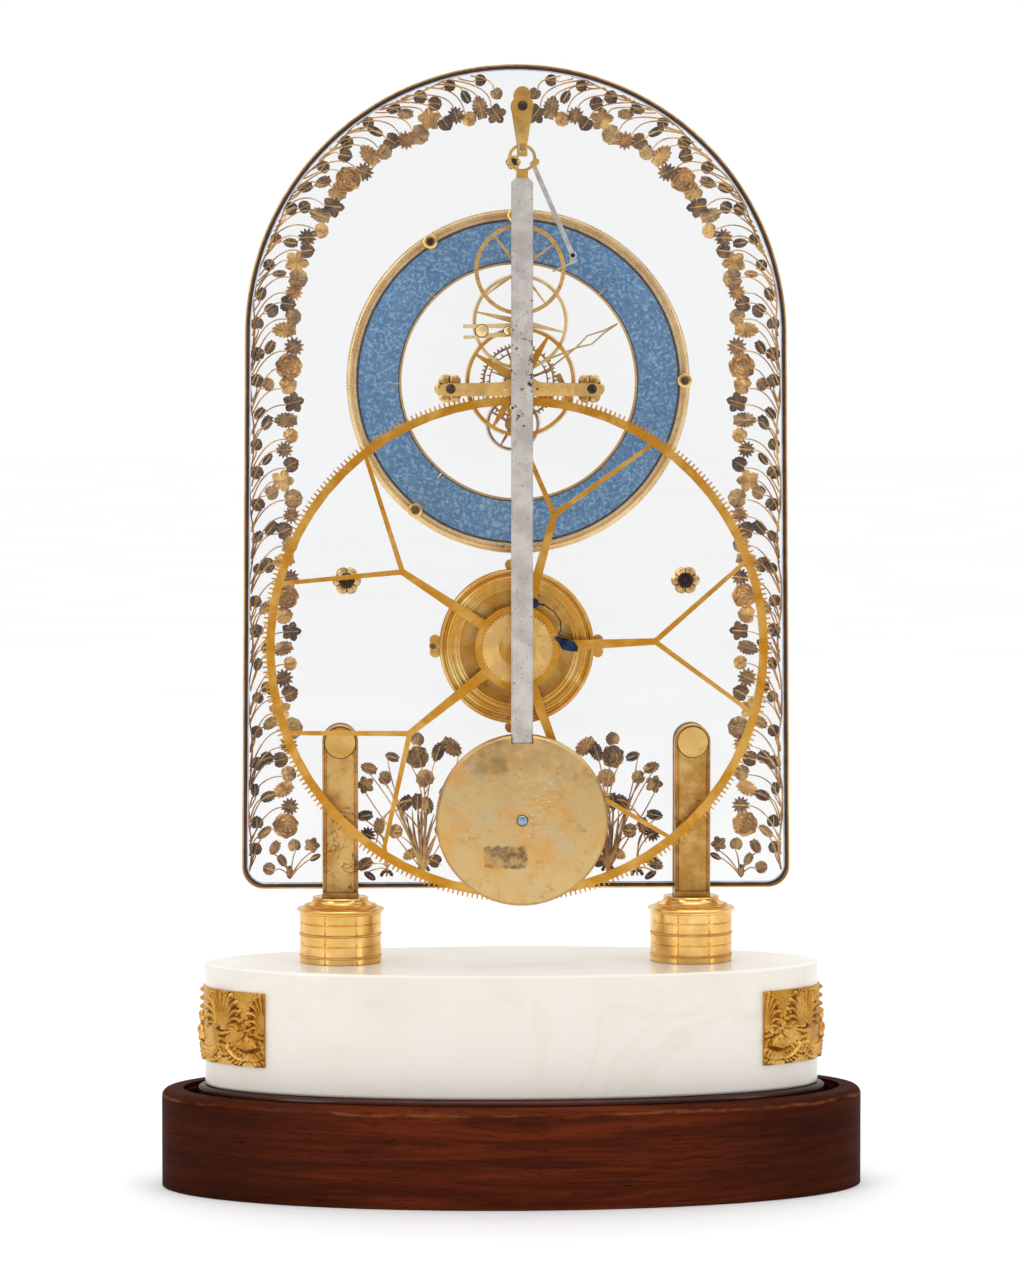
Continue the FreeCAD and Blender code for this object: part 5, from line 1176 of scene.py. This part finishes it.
def cock_discs():
    """Two clamping discs on the third wheel's cock, each on a dark ring that paints its shadow."""
    back = box("third_cock")[0].y + 0.8
    for name, dx, r in (("large", 16.3, 2.5), ("small", 5.4, 1.7)):
        centre = Vector((DIAL.x - dx, 0, box("third_arbor")[2].z - 3.7))
        # dark ring just wider than the disc: painted shadow round its edge
        seat = [(0, -0.05), (r + 0.3, -0.05), (r + 0.35, 0.1), (0, 0.1)]
        button("cock_disc_shadow_" + name, centre, shifted(seat, 0, back), "gilt_umber", "clock", "gilt")
        disc = [(0, -0.95), (r - 0.5, -0.95), (r - 0.05, -0.7), (r + 0.02, -0.3), (r + 0.02, 0), (0, 0)]
        button("cock_disc_" + name, centre, shifted(disc, 0, back), "bezel_brass", "clock", "gilt")


def rod():
    """Flat steel rod with bevelled edges and clipped upper corners, and its brass bush."""
    x, half, deep, clip, bevel = ROD.x, ROD_HIGH.x - ROD.x, ROD_HIGH.y - ROD.y, 1.6, 0.55
    shape = Shape()
    shape.bar(Vector((x, ROD.y, 0)), (
        (ROD_LOW.z, half - 0.3, deep, bevel), (ROD_LOW.z + 0.3, half, deep, bevel),
        (ROD_HIGH.z - clip, half, deep, bevel), (ROD_HIGH.z, half - clip, deep, bevel * 0.8)))
    ring_low, ring_high, _ = box("pendulum_ring")
    eye = Vector((x, 0, BRIDGE_Z))
    carved(shape.piece("rod_bar", "rod_steel", "pendulum", "rod_steel", "pendulum_rod", 20.0),
           chisel((x - 2.45, ring_low.y - 0.05, ROD_HIGH.z - 8.1),
                  (x + 2.45, ring_high.y + 0.05, ROD_HIGH.z + 1)),
           drill(eye, 1.05, -40, -20))
    front, back = ROD_LOW.y - 0.06, ROD_HIGH.y
    bush = Shape()
    bush.hoop(eye, [(1.03, back), (1.03, front + 0.1), (0.95, front), (0.7, front), (0.6, front + 0.1),
                    (0.6, back)],
              32)
    bush.piece("rod_bush", "pale_brass", "pendulum", "fine_brass")


# --- dial -------------------------------------------------------------------------------
NUMERALS = ("XII", "I", "II", "III", "IIII", "V", "VI", "VII", "VIII", "IX", "X", "XI")
NUMERAL_FOOT = 52.4
NUMERAL_H = 8.0
TRACK = (62.2, 64.6)
DIAL_HOLE = 49.3
# width of each letter and its strokes: foot and head across and up, and thickness
STROKES = {
    "I": (2.3, [(0.0, 0.0, 0.0, 1.0, 1.15)]),
    "V": (4.6, [(-1.55, 1.0, 0.0, 0.0, 1.15), (1.45, 1.0, 0.1, 0.0, 0.42)]),
    "X": (4.7, [(-1.5, 1.0, 1.5, 0.0, 1.15), (1.5, 1.0, -1.5, 0.0, 0.42)]),
}


def painted(shape, p, q, width, turn=0.0):
    """Flat stroke from p to q on the dial's face, seen from the front and turned clockwise."""
    ca, sa = math.cos(turn), math.sin(turn)
    p, q = Vector(p), Vector(q)
    along = (q - p).normalized()
    across = Vector((-along.y, along.x)) * width / 2
    shape.add([(DIAL.x - v.x * ca - v.y * sa, ENAMEL_HIGH.y + proud, DIAL.z - v.x * sa + v.y * ca)
               for proud in (0.004, 0.06) for v in (p + across, q + across, q - across, p - across)],
              [(3, 2, 1, 0), (4, 5, 6, 7), (0, 1, 5, 4), (1, 2, 6, 5), (2, 3, 7, 6), (3, 0, 4, 7)])


def clockwise(share, r):
    return math.sin(TAU * share) * r, math.cos(TAU * share) * r


def dial_face():
    """Roman hours, a minute track and its ring, in raised black enamel paint."""
    shape = Shape()
    for hour, text in enumerate(NUMERALS):
        turn = TAU * hour / 12
        total = sum(STROKES[letter][0] for letter in text)
        x = -total / 2
        for letter in text:
            width, strokes = STROKES[letter]
            for x0, y0, x1, y1, thick in strokes:
                ends = [(x + width / 2 + a, NUMERAL_FOOT + b * NUMERAL_H) for a, b in ((x0, y0), (x1, y1))]
                painted(shape, *ends, thick, turn)
            x += width
        for level in (NUMERAL_FOOT, NUMERAL_FOOT + NUMERAL_H):
            painted(shape, (-total / 2, level), (total / 2, level), 0.28, turn)
    for minute in range(60):
        start, width = (62.6, 0.3) if minute % 5 else (TRACK[0], 0.75)
        painted(shape, clockwise(minute / 60, start), clockwise(minute / 60, TRACK[1]), width)
    for r in TRACK:
        for i in range(120):
            painted(shape, clockwise(i / 120, r), clockwise((i + 1.02) / 120, r), 0.16)
    shape.piece("dial_numerals", "numeral_black", slot="dial_enamel")


def dial_wires():
    """Short gilt wires that hold the inner hoop to the dial's back."""
    shape = Shape()
    for angle in (47, 135, 181, 230, 315):
        path = [around(DIAL.x, DIAL.z, r, math.radians(angle), ENAMEL_LOW.y - 0.31)
                for r in (49.6, 51.2, 52.9)]
        shape.tube(path, [0.3] * 3, 8)
    shape.piece("dial_wires", "gilt_turned", slot="gilt")


# --- studio -----------------------------------------------------------------------------
WORLD_LOW = 0.62
WORLD_HIGH = 1.35
WORLD_FRONT = 0.5
WORLD_SIDE = 0.35


def floor():
    shape = Shape()
    shape.lathe(Vector((0, 0, 0)), [(0, -20), (14000, -20), (14000, -0.4), (0, -0.4)], 128, "z")
    p = Paint("studio_floor", Roughness=0.7)
    tone = p.mix(p.spread((3.0, 3.0), 0.3, 0.7), (0.87, 0.87, 0.87, 1), (0.84, 0.84, 0.84, 1))
    p.put(tone, p.shader["Base Color"])
    shape.solid("studio_floor", p.material, 30.0)


def area_light(name, place, size, power):
    data = bpy.data.lights.new(name, "AREA")
    data.shape = "RECTANGLE"
    data.size, data.size_y = size
    data.energy = power
    obj = placed(name, data)
    obj.location = place
    obj.rotation_euler = (Vector((0, 0, 0.25)) - Vector(place)).to_track_quat("-Z", "Y").to_euler()


def studio():
    """Bright soft surroundings, dimmer behind the camera so that the metals have something to show."""
    world = bpy.data.worlds.new("studio")
    world.use_nodes = True
    sky = Nodes(world.node_tree, "Generated")
    height = sky.between(sky.axis("Z"), -0.1, 0.75, WORLD_LOW, WORLD_HIGH)
    front = sky.between(sky.axis("Y"), -0.95, -0.45, WORLD_FRONT, 1.0)
    sides = sky.between(sky.maths("ABSOLUTE", sky.axis("X")), 0.80, 0.98, 1.0, WORLD_SIDE)
    seen = sky.add("LightPath", "Is Camera Ray", {})
    background = sky.tree.nodes["Background"].inputs
    sky.put(sky.mix(seen, sky.times(sky.times(height, front), sides), 1.0, "FLOAT"), background["Strength"])
    sky.put((1, 1, 1, 1), background["Color"])
    bpy.context.scene.world = world
    area_light("key_left", (-1.2, -1.2, 0.9), (0.5, 1.3), 5.0)
    area_light("fill_right", (1.5, -1.0, 0.7), (0.4, 1.3), 3.0)
    area_light("top", (0.1, 0.0, 1.7), (1.4, 1.0), 5.0)


def camera():
    data = bpy.data.cameras.new("camera")
    data.lens = 95.3
    data.sensor_width = 24.0
    tilt, pan = 0.0573, 0.0345
    obj = placed("camera", data)
    obj.location = (-0.0736, -2.133, 0.352)
    obj.rotation_euler = (math.pi / 2 - tilt, 0, -pan)
    bpy.context.scene.camera = obj
    bpy.context.scene.view_settings.view_transform = "Standard"


paint_frame()
make_flowers()
for plinth_end, end_name in SIDES:
    plaque(plinth_end, "plaque_" + end_name)
sockets()
# painted shade of the band's inner edge: a dark strip on its face
edge_strip("band_edge_shade", 0.6, 0.4, BAND_LOW.y - 0.03, BAND_LOW.y - 0.01, "plug_dark")
# painted shade: a dark line along the back of the glass's edge
edge_strip("edge_seal", 1.02, 0.95, GLASS_LOW.y - 0.25, GLASS_LOW.y - 0.02, "plug_dark")
# painted reflection: a pale grey line where the glass's bevel catches the light
edge_strip("glass_bevel_reflection", 2.0, 0.55, GLASS_LOW.y - 0.12, GLASS_LOW.y - 0.02, "bevel_grey")
# painted shade: a dark line along the front of the glass's edge
edge_strip("glass_edge_shade_front", 1.02, 0.95, GLASS_HIGH.y + 0.02, GLASS_HIGH.y + 0.2, "plug_dark")
pillars()
bezel()
washers()
rosettes()
barrel_cover()
bob()
bob_screw()
cock_discs()
rod()
dial_face()
dial_wires()
floor()
studio()
camera()
